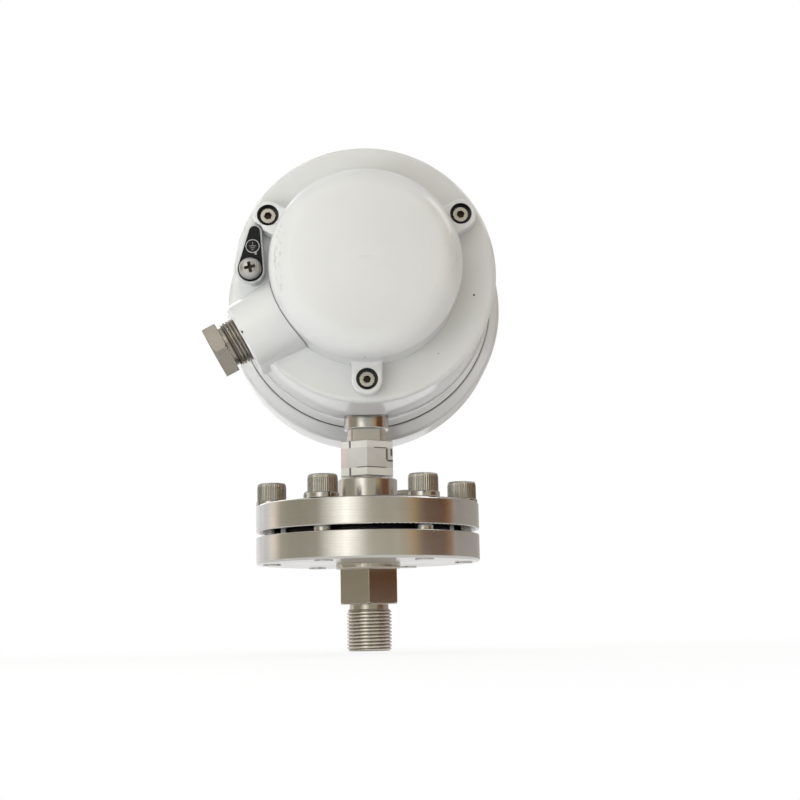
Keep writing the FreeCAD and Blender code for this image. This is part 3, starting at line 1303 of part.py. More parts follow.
def setting_spindle():
    rod = cyl_y(SPINDLE_R, DOG_Y1 - DOG_T, PLUNGER_Y1 + FIT + 1)
    head = cyl_y(SPINDLE_HEAD_R, PLUNGER_Y1 + FIT, PLUNGER_Y1 + FIT + SPINDLE_HEAD_H)
    dog = box(-DOG_HALF_L, DOG_HALF_L, DOG_Y1 - DOG_T, DOG_Y1, CASE_Z - DOG_HALF_W, CASE_Z + DOG_HALF_W)
    top = PLUNGER_Y1 + SPINDLE_HEAD_H
    slot = box(-SPINDLE_HEAD_R - 1, SPINDLE_HEAD_R + 1, top - SPINDLE_SLOT, top + 1,
               CASE_Z - SPINDLE_SLOT / 2, CASE_Z + SPINDLE_SLOT / 2)
    return merged([rod, head, dog]).cut(slot)


def setting_spring():
    half = LOCK_SPRING_WIRE / 2
    height = PLUNGER_Y - WELL_Y - LOCK_SPRING_WIRE
    helix = Part.makeHelix(height / LOCK_SPRING_TURNS, height, LOCK_SPRING_R)
    corners = [V(LOCK_SPRING_R - half, 0, -half), V(LOCK_SPRING_R + half, 0, -half)]
    corners += [V(LOCK_SPRING_R + half, 0, half), V(LOCK_SPRING_R - half, 0, half)]
    wire = Part.makePolygon(corners + [corners[0]])
    coil = Part.Wire(helix).makePipeShell([wire], True, True)
    coil.rotate(V(0, 0, 0), V(1, 0, 0), -90)
    coil.translate(V(0, WELL_Y + half, CASE_Z))
    return coil


NODES = (
    process_connector, lower_flange, upper_flange, diaphragm, seal_ring, flange_bolts, spring_washers,
    coupling_nut, label_band, stem, stem_screws, case_body, terminal_cover, cover_gasket, cover_screws,
    earth_plate, earth_screw, cable_adapter, terminal_block, terminal_clamps, terminal_screws,
    block_screws, feedthrough_bushing, bezel_ring, window_glass, window_gasket, dial_plate, dial_screws,
    bourdon_tube, tube_tip, link_rod, movement_back_plate, movement_front_plate, movement_pillars,
    plate_screws, movement_screws, sector_gear, pinion_arbor, hairspring, pointer, contact_bridge,
    bridge_screws, low_limit_hand, high_limit_hand, hand_clip, setting_bush, setting_nut,
    setting_plunger, setting_spindle, setting_spring)

for node in NODES:
    save(node(), node.__name__)
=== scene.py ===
import math

import bpy
from mathutils import Matrix, Vector


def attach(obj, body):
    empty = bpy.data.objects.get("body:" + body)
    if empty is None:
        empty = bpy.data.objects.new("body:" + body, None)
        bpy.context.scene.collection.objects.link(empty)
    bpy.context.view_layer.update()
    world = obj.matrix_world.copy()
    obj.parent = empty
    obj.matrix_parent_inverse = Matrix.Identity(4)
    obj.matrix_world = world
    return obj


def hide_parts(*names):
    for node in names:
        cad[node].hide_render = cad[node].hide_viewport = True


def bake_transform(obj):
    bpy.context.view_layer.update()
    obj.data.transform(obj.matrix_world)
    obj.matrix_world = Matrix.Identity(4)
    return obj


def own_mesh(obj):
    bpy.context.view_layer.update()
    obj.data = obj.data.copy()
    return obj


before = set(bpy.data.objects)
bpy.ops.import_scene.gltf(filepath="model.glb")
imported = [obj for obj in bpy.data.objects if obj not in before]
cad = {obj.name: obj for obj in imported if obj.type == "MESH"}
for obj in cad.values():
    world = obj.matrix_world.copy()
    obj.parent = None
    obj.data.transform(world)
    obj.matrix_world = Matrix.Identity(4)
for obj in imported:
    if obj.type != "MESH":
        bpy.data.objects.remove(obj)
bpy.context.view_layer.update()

MM = 0.001


# Process connector: the male end that goes into the pressure line.
# Turned from one stainless bar, with a spanner hexagon, a relief groove and
# an M20 x 1.5 thread cut below it; its collar seats in the lower flange.
CONNECTOR_THREAD_R = 10.0 * MM
CONNECTOR_THREAD_TOP = 18.3 * MM
CONNECTOR_BORE_R = 4.0 * MM
CONNECTOR_PITCH = 1.5 * MM
# Radii over which the thread roots darken: painted shade.
CONNECTOR_ROOT_SHADE_FROM_R = 9.7 * MM
CONNECTOR_ROOT_SHADE_FULL_R = 9.35 * MM
THREAD_STEPS = 64
# Spare on a thread's blank, step between meshes that are joined, and merging distance.
THREAD_SPARE = 0.04 * MM
SEAM = 0.02 * MM
WELD = 1e-6
# The range that most values of a noise lie in.
NOISE_LOW, NOISE_HIGH = 0.3, 0.7


def put_down():
    """Closes the mesh that is open for editing and leaves nothing selected."""
    if bpy.context.mode != "OBJECT":
        bpy.ops.object.mode_set(mode="OBJECT")
    bpy.ops.object.select_all(action="DESELECT")


def pick(piece):
    """Makes a piece the active one, and the only one selected."""
    put_down()
    piece.select_set(True)
    bpy.context.view_layer.objects.active = piece


def open_mesh(piece):
    """Opens a piece's mesh for editing, with all of it selected."""
    pick(piece)
    bpy.ops.object.mode_set(mode="EDIT")
    bpy.ops.mesh.select_all(action="SELECT")


def traced(name, points):
    """A line of radius and height, drawn by extruding one point along it."""
    put_down()
    bpy.ops.mesh.primitive_plane_add(size=MM)
    piece = bpy.context.object
    piece.name = piece.data.name = name
    open_mesh(piece)
    bpy.ops.mesh.merge(type="CENTER")
    bpy.ops.transform.translate(value=(points[0][0], 0, points[0][1]))
    for (r0, z0), (r1, z1) in zip(points, points[1:]):
        bpy.ops.mesh.extrude_region_move(TRANSFORM_OT_translate={"value": (r1 - r0, 0, z1 - z0)})
    put_down()
    return piece


def tidy_mesh(piece):
    """Merges doubled points and turns all faces outwards."""
    open_mesh(piece)
    bpy.ops.mesh.remove_doubles(threshold=WELD)
    bpy.ops.mesh.normals_make_consistent(inside=False)
    put_down()


def turned(name, outline, steps=96):
    """A lathe-turned piece about Z from a closed outline of radius and height."""
    piece = traced(name, outline + outline[:1])
    open_mesh(piece)
    bpy.ops.mesh.spin(steps=steps, angle=2 * math.pi, center=(0, 0, 0), axis=(0, 0, 1))
    tidy_mesh(piece)
    return piece


def apply_modifiers(piece):
    """Leaves what the piece's modifiers make in its mesh."""
    pick(piece)
    for modifier in list(piece.modifiers):
        bpy.ops.object.modifier_apply(modifier=modifier.name)


def cut_with(piece, tool, operation):
    """Boolean of the piece with a tool mesh, which is used up."""
    cutter = piece.modifiers.new("cut", "BOOLEAN")
    cutter.operation = operation
    cutter.object = tool
    cutter.solver = "EXACT"
    cutter.material_mode = "TRANSFER"
    apply_modifiers(piece)
    bpy.data.objects.remove(tool)


def cut_off(piece, point, way):
    """Saws the piece flat at a point and drops the side that way points to."""
    open_mesh(piece)
    bpy.ops.mesh.bisect(plane_co=point, plane_no=way, use_fill=True, clear_outer=True)
    put_down()


def screw_thread(name, radius, pitch, low, high, bore):
    """A threaded tube about Z: one pitch wound up, then trimmed by a chamfered blank."""
    root = radius - 0.5 * pitch
    one_pitch = [(root, 0), (root, 0.08 * pitch), (radius, 0.27 * pitch), (radius, 0.73 * pitch),
                 (root, 0.92 * pitch), (root, pitch)]
    coil = traced(name, [(r, z + low - 2 * pitch) for r, z in one_pitch])
    wind = coil.modifiers.new("wind", "SCREW")
    wind.angle = 2 * math.pi
    wind.screw_offset = pitch
    wind.iterations = math.ceil((high - low) / pitch) + 4
    wind.steps = wind.render_steps = THREAD_STEPS
    wind.use_merge_vertices = True
    wind.merge_threshold = WELD
    apply_modifiers(coil)
    cut_off(coil, (0, 0, low - 0.4 * pitch), (0, 0, -1))
    cut_off(coil, (0, 0, high + 0.4 * pitch), (0, 0, 1))
    tidy_mesh(coil)
    lead = 0.7 * pitch
    clear = radius + THREAD_SPARE
    blank = turned("blank", [
        (bore, low), (clear - lead, low), (clear, low + lead), (clear, high - lead),
        (clear - lead, high), (bore, high)])
    cut_with(coil, blank, "INTERSECT")
    return coil


def copy_of(node, name):
    """A welded copy of a solid's mesh, to be reworked as a new piece."""
    piece = bpy.data.objects.new(name, cad[node].data.copy())
    bpy.context.scene.collection.objects.link(piece)
    open_mesh(piece)
    bpy.ops.mesh.customdata_custom_splitnormals_clear()
    bpy.ops.mesh.remove_doubles(threshold=WELD)
    put_down()
    return piece


def joined(piece, *others):
    """One piece of several, under the name of the first."""
    pick(piece)
    for other in others:
        other.select_set(True)
    bpy.ops.object.join()
    return piece


def smooth(piece, degrees=32):
    """Shades a piece smooth, and leaves edges sharper than the angle hard."""
    pick(piece)
    bpy.ops.object.shade_smooth_by_angle(angle=math.radians(degrees))


def dress(piece, material):
    """Gives a piece one material all over."""
    piece.data.materials.clear()
    piece.data.materials.append(material)


def add(tree, kind, **settings):
    """A new shader node with its settings."""
    made = tree.nodes.new(kind)
    for key, value in settings.items():
        setattr(made, key, value)
    return made


def maths(tree, operation, *values):
    """A maths node; each value is a number or another node's output."""
    made = add(tree, "ShaderNodeMath", operation=operation)
    for socket, value in zip(made.inputs, values):
        if isinstance(value, (int, float)):
            socket.default_value = value
        else:
            tree.links.new(value, socket)
    return made.outputs[0]


def fitted(tree, value, low, high, to_low=0.0, to_high=1.0):
    """Maps a value from one range to another, clamped."""
    made = add(tree, "ShaderNodeMapRange", clamp=True)
    tree.links.new(value, made.inputs["Value"])
    for key, number in (("From Min", low), ("From Max", high), ("To Min", to_low), ("To Max", to_high)):
        made.inputs[key].default_value = number
    return made.outputs["Result"]


def blended(tree, share, a, b):
    """Mixes two colours, each given as three numbers or as an output."""
    made = add(tree, "ShaderNodeMix", data_type="RGBA")
    for socket, value in ((made.inputs[0], share), (made.inputs[6], a), (made.inputs[7], b)):
        if isinstance(value, (int, float)):
            socket.default_value = value
        elif isinstance(value, (tuple, list)):
            socket.default_value = (*value, 1)
        else:
            tree.links.new(value, socket)
    return made.outputs[2]


def noise(tree, vector, scale, detail=3.0, rough=0.55):
    """The value of a cloudy noise, with so many lumps to each unit of its vector."""
    made = add(tree, "ShaderNodeTexNoise")
    made.inputs["Scale"].default_value = scale
    made.inputs["Detail"].default_value = detail
    made.inputs["Roughness"].default_value = rough
    tree.links.new(vector, made.inputs["Vector"])
    return made.outputs["Fac"]


def effect(name, ins, outs):
    """An empty shader group with named sockets; each value in ins is a socket's default."""
    tree = bpy.data.node_groups.new(name, "ShaderNodeTree")
    for key, value in ins.items():
        kind = "NodeSocketVector" if value is None else "NodeSocketFloat"
        socket = tree.interface.new_socket(name=key, in_out="INPUT", socket_type=kind)
        if value is not None:
            socket.default_value = value
    for key in outs:
        kind = "NodeSocketVector" if key == "Normal" else "NodeSocketFloat"
        tree.interface.new_socket(name=key, in_out="OUTPUT", socket_type=kind)
    return tree, add(tree, "NodeGroupInput").outputs, add(tree, "NodeGroupOutput").inputs


def place(tree, group, vector, **values):
    """Puts a group into a material; returns its outputs."""
    made = add(tree, "ShaderNodeGroup", node_tree=group)
    tree.links.new(vector, made.inputs["Vector"])
    for key, value in values.items():
        made.inputs[key.replace("_", " ")].default_value = value
    return made.outputs


def new_finish(name, metallic=0.0, roughness=0.5, **sockets):
    """A material with its shader, its object coordinates and plain socket values."""
    material = bpy.data.materials.new(name)
    material.use_nodes = True
    tree = material.node_tree
    shader = tree.nodes["Principled BSDF"]
    shader.inputs["Metallic"].default_value = metallic
    shader.inputs["Roughness"].default_value = roughness
    for key, value in sockets.items():
        shader.inputs[key.replace("_", " ")].default_value = value
    where = add(tree, "ShaderNodeTexCoord").outputs["Object"]
    return material, tree, shader, where


def colour_by(tree, shader, tone):
    """Gives the shader its base colour."""
    tree.links.new(tone, shader.inputs["Base Color"])


def dulled(tree, shader, value, at_low, at_high):
    """Gives the shader a roughness that follows the middle range of a noise."""
    tree.links.new(fitted(tree, value, NOISE_LOW, NOISE_HIGH, at_low, at_high), shader.inputs["Roughness"])


def over(tree, share, colour):
    """Lays a colour over the base colour of a material that is already made."""
    shader = tree.nodes["Principled BSDF"]
    below = shader.inputs["Base Color"].links[0].from_socket
    colour_by(tree, shader, blended(tree, share, below, colour))


def raise_up(tree, shader, height, strength, distance, rounded=None):
    """Bump of a strength and a depth, on the plain normal or on a rounded one."""
    bump = add(tree, "ShaderNodeBump")
    if rounded:
        tree.links.new(rounded, bump.inputs["Normal"])
    bump.inputs["Strength"].default_value = strength
    bump.inputs["Distance"].default_value = distance
    tree.links.new(height, bump.inputs["Height"])
    tree.links.new(bump.outputs["Normal"], shader.inputs["Normal"])


def split(tree, vector):
    """The three coordinates of a vector."""
    made = add(tree, "ShaderNodeSeparateXYZ")
    tree.links.new(vector, made.inputs[0])
    return made.outputs


def coordinates(tree):
    """The object's own coordinates, in a material that is already made."""
    return split(tree, add(tree, "ShaderNodeTexCoord").outputs["Object"])


def reach_of(tree, a, b):
    """The distance from an axis, from the two coordinates across it."""
    return maths(tree, "SQRT", maths(tree, "ADD", maths(tree, "POWER", a, 2.0), maths(tree, "POWER", b, 2.0)))


def laid(tree, where, centre, turn):
    """Coordinates seen from a turned axis, with the axis as their Z."""
    made = add(tree, "ShaderNodeMapping", vector_type="TEXTURE")
    made.inputs["Location"].default_value = centre
    made.inputs["Rotation"].default_value = turn
    tree.links.new(where, made.inputs["Vector"])
    return made.outputs[0]


# Tool marks of the lathe: fine rings round Z, and slow cloudy handling marks.
turning, t_in, t_out = effect("Turning marks", {"Vector": None, "Rings per mm": 3.0}, ("Rings", "Cloud"))
t_at = split(turning, t_in["Vector"])
reach = reach_of(turning, t_at[0], t_at[1])
ring_scale = maths(turning, "MULTIPLY", t_in["Rings per mm"], 1 / MM)
ring_at = add(turning, "ShaderNodeCombineXYZ")
turning.links.new(maths(turning, "MULTIPLY", reach, ring_scale), ring_at.inputs[0])
turning.links.new(maths(turning, "MULTIPLY", t_at[2], ring_scale), ring_at.inputs[1])
turning.links.new(noise(turning, ring_at.outputs[0], 1.0, 2.0, 0.7), t_out["Rings"])
turning.links.new(noise(turning, t_in["Vector"], 70.0, 4.0), t_out["Cloud"])

# Rubbed edges: where a rounded edge would turn the surface, broken up by noise.
rubbed, r_in, r_out = effect("Rubbed edges", {"Vector": None, "Radius": 0.4 * MM, "Break up": 400.0},
                             ("Edge", "Normal"))
round_edge = add(rubbed, "ShaderNodeBevel", samples=4)
rubbed.links.new(r_in["Radius"], round_edge.inputs["Radius"])
rubbed.links.new(round_edge.outputs[0], r_out["Normal"])
flat_side = add(rubbed, "ShaderNodeNewGeometry")
turn_of = add(rubbed, "ShaderNodeVectorMath", operation="DOT_PRODUCT")
rubbed.links.new(round_edge.outputs[0], turn_of.inputs[0])
rubbed.links.new(flat_side.outputs["Normal"], turn_of.inputs[1])
edge_share = fitted(rubbed, turn_of.outputs["Value"], 0.995, 0.8)
grit = add(rubbed, "ShaderNodeTexNoise")
rubbed.links.new(r_in["Vector"], grit.inputs["Vector"])
rubbed.links.new(r_in["Break up"], grit.inputs["Scale"])
left_on = fitted(rubbed, grit.outputs["Fac"], 0.35, 0.6)
rubbed.links.new(maths(rubbed, "MULTIPLY", edge_share, left_on), r_out["Edge"])


def turned_metal(name, dark, bright, finest, coarsest, rings, axis="Z", lay=None):
    """Turned metal: rings of the tool, cloudy handling, and rubbed edges that are lighter, partly worn and
    partly a painted highlight.

    Its colour runs from dark to bright and its roughness from finest to coarsest, with so many
    rings per millimetre, round the piece's Z or round the Z of a turned lay. The gloss is drawn
    out round an axis, unless that is None.
    """
    material, tree, shader, where = new_finish(name, metallic=1.0)
    if lay:
        where = laid(tree, where, *lay)
    marks = place(tree, turning, where, Rings_per_mm=rings)
    worn = place(tree, rubbed, where, Radius=0.5 * MM)
    tone = maths(tree, "ADD", maths(tree, "MULTIPLY", marks["Rings"], 0.6),
                 maths(tree, "MULTIPLY", marks["Cloud"], 0.4))
    body = blended(tree, fitted(tree, tone, 0.32, 0.68), dark, bright)
    # Rubbed edges are lighter: partly worn metal, partly a painted highlight.
    rubbed_and_highlit = tuple(min(1.0, 1.15 * c) for c in bright)
    edge = maths(tree, "MULTIPLY", worn["Edge"], 0.6)
    colour_by(tree, shader, blended(tree, edge, body, rubbed_and_highlit))
    dulled(tree, shader, tone, coarsest, finest)
    raise_up(tree, shader, marks["Rings"], 0.2, 0.02 * MM, worn["Normal"])
    if axis:
        shader.inputs["Anisotropic"].default_value = 0.4
        shader.inputs["Anisotropic Rotation"].default_value = 0.25
        around = add(tree, "ShaderNodeTangent", direction_type="RADIAL", axis=axis)
        tree.links.new(around.outputs[0], shader.inputs["Tangent"])
    return material


thread = screw_thread("process_connector_threaded", CONNECTOR_THREAD_R, CONNECTOR_PITCH, 0.0,
                      CONNECTOR_THREAD_TOP, CONNECTOR_BORE_R)
hexagon = copy_of("process_connector", "connector_hexagon")
cut_off(hexagon, (0, 0, CONNECTOR_THREAD_TOP + SEAM), (0, 0, -1))
thread_steel = turned_metal("Thread steel", dark=(0.47, 0.44, 0.385), bright=(0.66, 0.62, 0.55),
                            finest=0.08, coarsest=0.13, rings=3.0)
tree = thread_steel.node_tree
x, y, z = coordinates(tree)
# Thread roots: painted shade, darker towards the root radius of the thread.
root_shade = fitted(tree, reach_of(tree, x, y), CONNECTOR_ROOT_SHADE_FROM_R, CONNECTOR_ROOT_SHADE_FULL_R, 0.0, 0.5)
over(tree, root_shade, (0.08, 0.055, 0.03))
dress(thread, thread_steel)
connector_steel = turned_metal("Connector steel", dark=(0.34, 0.31, 0.265), bright=(0.48, 0.44, 0.38),
                               finest=0.09, coarsest=0.15, rings=3.0)
dress(hexagon, connector_steel)
connector = joined(thread, hexagon)
smooth(connector)
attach(connector, "gauge")
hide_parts("process_connector")


# Diaphragm seal: two stainless flanges turned all over, with a thin waved
# diaphragm and a black seal ring pressed between them by the bolts; the facing
# sides in the joint are painted dark as shade in the gap.
JOINT_Z = 51.65 * MM
JOINT_HALF = 1.4 * MM
JOINT_R = 48.8 * MM
JOINT_FADE = 0.2 * MM


def near(tree, value, centre, half):
    """One where a value lies within half of a centre, with a thin soft edge."""
    away = maths(tree, "ABSOLUTE", maths(tree, "SUBTRACT", value, centre))
    return fitted(tree, away, half, 0.8 * half)


def both(tree, *shares):
    """The product of several shares."""
    result = shares[0]
    for share in shares[1:]:
        result = maths(tree, "MULTIPLY", result, share)
    return result


def either(tree, *shares):
    """The largest of several shares."""
    result = shares[0]
    for share in shares[1:]:
        result = maths(tree, "MAXIMUM", result, share)
    return result


flange_steel = turned_metal("Flange steel", dark=(0.45, 0.435, 0.41), bright=(0.58, 0.565, 0.535),
                            finest=0.17, coarsest=0.25, rings=3.0)
tree = flange_steel.node_tree
x, y, z = coordinates(tree)
inside_joint = fitted(tree, reach_of(tree, x, y), JOINT_R, JOINT_R - JOINT_FADE)
# Painted shade: the facing sides in the joint are darkened.
joint_shade = both(tree, near(tree, z, JOINT_Z, JOINT_HALF), inside_joint)
over(tree, joint_shade, (0.03, 0.028, 0.025))
for name in ("lower_flange", "upper_flange", "diaphragm"):
    dress(cad[name], flange_steel)

rubber, tree, shader, where = new_finish("Seal rubber", roughness=0.65)
pores = noise(tree, where, 700.0, 4.0)
colour_by(tree, shader, blended(tree, pores, (0.014, 0.014, 0.014), (0.032, 0.031, 0.030)))
dulled(tree, shader, pores, 0.55, 0.75)
raise_up(tree, shader, pores, 0.2, 0.04 * MM)
dress(cad["seal_ring"], rubber)


# Flange bolts: six M8 socket-head screws of stainless steel, with knurled
# heads, drawn down on split spring washers into threads in the lower flange.
BOLT_HEAD_R = 6.5 * MM
BOLT_HEAD_LOW = 66.8 * MM
BOLT_HEAD_TOP = 74.8 * MM
BOLT_SOCKET_AF = 6.0 * MM
BOLT_CIRCLE_R = 43.0 * MM
BOLT_COUNT = 6
BOLT_TURN = math.radians(33.2)
# Steps of the head, each by its rise as a share of the height, and its spread.
BOLT_HEAD_STEPS = ((0.78, 1.0), (0.05, 0.985), (0.10, 0.985), (0.07, 0.93))
BOLT_HEAD_INSETS = (0.5 * MM, 0.4 * MM)
KNURL_RIBS = 48
KNURL_ROOT = 0.972
HEAD_TURN = 1.3

bolt_steel = turned_metal("Bolt steel", dark=(0.38, 0.37, 0.345), bright=(0.56, 0.545, 0.515),
                          finest=0.16, coarsest=0.26, rings=2.0)
tree = bolt_steel.node_tree
# Knurl grooves: painted shade, darker where the groove attribute is set.
groove = add(tree, "ShaderNodeAttribute", attribute_name="groove")
over(tree, maths(tree, "MULTIPLY", groove.outputs["Fac"], 0.5), (0.05, 0.045, 0.04))


def settled(piece, matrix):
    """Puts a piece in its place and leaves the place in its mesh."""
    piece.matrix_world = matrix
    pick(piece)
    bpy.ops.object.transform_apply(location=True, rotation=True, scale=True)
    return piece


def twin(piece):
    """A copy of a piece with a mesh of its own."""
    made = piece.copy()
    made.data = piece.data.copy()
    bpy.context.scene.collection.objects.link(made)
    return made


def knurled_head(name):
    """One bolt head about Z: a ribbed drum with a rounded plain lip and a hexagon socket."""
    put_down()
    bpy.ops.mesh.primitive_circle_add(vertices=2 * KNURL_RIBS, radius=BOLT_HEAD_R, fill_type="NGON")
    piece = settled(bpy.context.object, Matrix.Translation((0, 0, BOLT_HEAD_LOW)))
    piece.name = piece.data.name = name
    open_mesh(piece)
    bpy.ops.mesh.select_mode(type="VERT")
    bpy.ops.mesh.select_all(action="DESELECT")
    bpy.ops.object.mode_set(mode="OBJECT")
    for vertex in piece.data.vertices:
        vertex.select = vertex.index % 2 == 0
    bpy.ops.object.mode_set(mode="EDIT")
    bpy.ops.transform.resize(value=(KNURL_ROOT, KNURL_ROOT, 1), center_override=(0, 0, BOLT_HEAD_LOW))
    bpy.ops.mesh.select_all(action="SELECT")
    drum = BOLT_HEAD_TOP - BOLT_HEAD_LOW
    for rise, spread in BOLT_HEAD_STEPS:
        bpy.ops.mesh.extrude_region_move(TRANSFORM_OT_translate={"value": (0, 0, rise * drum)})
        bpy.ops.transform.resize(value=(spread, spread, 1))
    for width in BOLT_HEAD_INSETS:
        bpy.ops.mesh.inset(thickness=width)
    tidy_mesh(piece)
    bpy.ops.mesh.primitive_cylinder_add(vertices=6, radius=BOLT_SOCKET_AF / 2 / math.cos(math.pi / 6),
                                        depth=drum)
    socket = settled(bpy.context.object, Matrix.Translation((0, 0, BOLT_HEAD_TOP)))
    cut_with(piece, socket, "DIFFERENCE")
    # Marks the knurl grooves for their painted shade.
    knurl_shade = piece.data.attributes.new("groove", "FLOAT", "POINT")
    for vertex, mark in zip(piece.data.vertices, knurl_shade.data):
        on_drum = vertex.co.z < BOLT_HEAD_LOW + 0.8 * drum
        mark.value = float(on_drum and 0.9 * BOLT_HEAD_R < vertex.co.xy.length < 0.985 * BOLT_HEAD_R)
    return piece


bolts = copy_of("flange_bolts", "flange_bolts_knurled")
cut_off(bolts, (0, 0, BOLT_HEAD_LOW), (0, 0, 1))
first_head = knurled_head("bolt_head")
heads = []
for i in range(BOLT_COUNT):
    angle = BOLT_TURN + 2 * math.pi / BOLT_COUNT * i
    at = Matrix.Translation((BOLT_CIRCLE_R * math.sin(angle), -BOLT_CIRCLE_R * math.cos(angle), 0))
    heads.append(settled(twin(first_head), at @ Matrix.Rotation(HEAD_TURN * i, 4, "Z")))
bpy.data.objects.remove(first_head)
bolts = joined(bolts, *heads)
smooth(bolts, 24)
dress(bolts, bolt_steel)
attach(bolts, "gauge")
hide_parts("flange_bolts")
dress(cad["spring_washers"], bolt_steel)


# Coupling nut and its label: a stainless hexagon that draws the seal onto the
# stem, with a paper label wrapped round its six sides; the label has a white
# band above and below a grey field, and thin black frame lines.
LABEL_FIELD_LOW = 80.9 * MM
LABEL_FIELD_TOP = 89.7 * MM
LABEL_RULE_HALF = 0.26 * MM
LABEL_STILE_HALF = 0.45 * MM
LABEL_LEFT_STILE_X = -7.6 * MM
LABEL_BLUSH_X, LABEL_BLUSH_HALF = -10.4 * MM, 1.5 * MM
LABEL_FADE = 0.1 * MM
# Frame lines, each by its middle and half length in X, then in Z.
LABEL_LINES = (
    (2.0 * MM, 7.3 * MM, LABEL_FIELD_LOW, LABEL_RULE_HALF),
    (6.0 * MM, 3.1 * MM, LABEL_FIELD_TOP, LABEL_RULE_HALF),
    (8.9 * MM, LABEL_STILE_HALF, 86.9 * MM, 2.9 * MM),
    (11.0 * MM, 2.2 * MM, 84.0 * MM, LABEL_STILE_HALF),
    (11.0 * MM, LABEL_STILE_HALF, 87.8 * MM, 1.8 * MM))

stainless = turned_metal("Turned stainless", dark=(0.45, 0.435, 0.41), bright=(0.58, 0.565, 0.535),
                         finest=0.17, coarsest=0.25, rings=3.0)
dress(cad["coupling_nut"], stainless)

paper, tree, shader, where = new_finish("Label paper", roughness=0.45, Coat_Weight=0.25, Coat_Roughness=0.25)
x, y, z = split(tree, where)
fibre = noise(tree, where, 900.0, 5.0)
stain = fitted(tree, noise(tree, where, 140.0, 3.0), 0.35, 0.7)
field = both(tree, fitted(tree, z, LABEL_FIELD_LOW - LABEL_FADE, LABEL_FIELD_LOW + LABEL_FADE),
             fitted(tree, z, LABEL_FIELD_TOP + LABEL_FADE, LABEL_FIELD_TOP - LABEL_FADE))
sheet = blended(tree, stain, (0.90, 0.90, 0.89), (0.83, 0.825, 0.81))
sheet = blended(tree, field, sheet, blended(tree, stain, (0.72, 0.72, 0.71), (0.65, 0.645, 0.635)))
blush = both(tree, field, near(tree, x, LABEL_BLUSH_X, LABEL_BLUSH_HALF))
sheet = blended(tree, maths(tree, "MULTIPLY", blush, 0.5), sheet, (0.84, 0.70, 0.68))
rear = fitted(tree, y, 0.0, -1.0 * MM)
lines = [both(tree, near(tree, x, mid_x, half_x), near(tree, z, mid_z, half_z))
         for mid_x, half_x, mid_z, half_z in LABEL_LINES]
on_bands = maths(tree, "SUBTRACT", 1.0, field)
left_stile = both(tree, near(tree, x, LABEL_LEFT_STILE_X, LABEL_STILE_HALF), on_bands)
ruled = both(tree, rear, either(tree, left_stile, *lines))
colour_by(tree, shader, blended(tree, maths(tree, "MULTIPLY", ruled, 0.9), sheet, (0.03, 0.03, 0.035)))
dulled(tree, shader, fibre, 0.38, 0.5)
raise_up(tree, shader, fibre, 0.15, 0.03 * MM)
dress(cad["label_band"], paper)


# Stem: the stainless socket piece that carries the gauge, with spanner flats
# below its neck; two screws hold its foot to the floor of the case.
dress(cad["stem"], stainless)
dress(cad["stem_screws"], bolt_steel)


# Case body: an aluminium die casting with the cable boss, the earthing pad and
# the seats of the cover, sprayed light grey up to its rim; two chips show dark
# metal, and the neck in front of the rim is painted black as shade in the joint.
CASE_NECK_SHADE_FROM_Y, CASE_NECK_SHADE_FULL_Y = 13.75 * MM, 13.85 * MM
# Chips in the paint, each by its place and radius in millimetres.
CASE_CHIPS = ((-51.75, -61.2, 132.2, 1.1), (46.7, -45.4, 150.8, 0.85))

# Specks: sparse dots of dust and grit, sized by chance.
specks, s_in, s_out = effect("Specks", {"Vector": None, "Size": 300.0, "Share": 0.08}, ("Speck",))
grains = add(specks, "ShaderNodeTexVoronoi")
specks.links.new(s_in["Vector"], grains.inputs["Vector"])
specks.links.new(s_in["Size"], grains.inputs["Scale"])
chosen = add(specks, "ShaderNodeSeparateColor")
specks.links.new(grains.outputs["Color"], chosen.inputs[0])
is_chosen = maths(specks, "LESS_THAN", chosen.outputs[0], s_in["Share"])
dot_r = maths(specks, "MULTIPLY", chosen.outputs[1], 0.3)
in_dot = maths(specks, "LESS_THAN", grains.outputs["Distance"], dot_r)
specks.links.new(maths(specks, "MULTIPLY", is_chosen, in_dot), s_out["Speck"])


def mottled(tree, value, dark, light):
    """A colour between two, by the middle range of a noise."""
    return blended(tree, fitted(tree, value, NOISE_LOW, NOISE_HIGH), dark, light)


def sprayed_paint(name):
    """Grey sprayed paint: a cloudy film with orange peel and sparse dark specks."""
    material, tree, shader, where = new_finish(name, Coat_Weight=0.7, Coat_Roughness=0.06)
    cloud = noise(tree, where, 28.0, 4.0)
    coat = mottled(tree, cloud, (0.617, 0.636, 0.645), (0.652, 0.671, 0.681))
    dots = place(tree, specks, where, Size=260.0, Share=0.004)["Speck"]
    coat = blended(tree, maths(tree, "MULTIPLY", dots, 0.5), coat, (0.14, 0.125, 0.11))
    dulled(tree, shader, cloud, 0.34, 0.44)
    raise_up(tree, shader, noise(tree, where, 650.0, 2.0), 0.05, 0.1 * MM)
    return material, tree, shader, where, coat


def spot(tree, where, x, y, z, radius):
    """One inside a ragged spot, whose place and size are given in millimetres."""
    away = add(tree, "ShaderNodeVectorMath", operation="DISTANCE")
    tree.links.new(where, away.inputs[0])
    away.inputs[1].default_value = Vector((x, y, z)) * MM
    ragged = maths(tree, "MULTIPLY_ADD", noise(tree, where, 1500.0), 0.8 * radius * MM, away.outputs["Value"])
    return fitted(tree, ragged, radius * MM, 0.9 * radius * MM)


case_paint, tree, shader, where, coat = sprayed_paint("Grey casting paint")
chips = either(tree, *(spot(tree, where, *chip) for chip in CASE_CHIPS))
coat = blended(tree, chips, coat, (0.05, 0.045, 0.04))
x, y, z = split(tree, where)
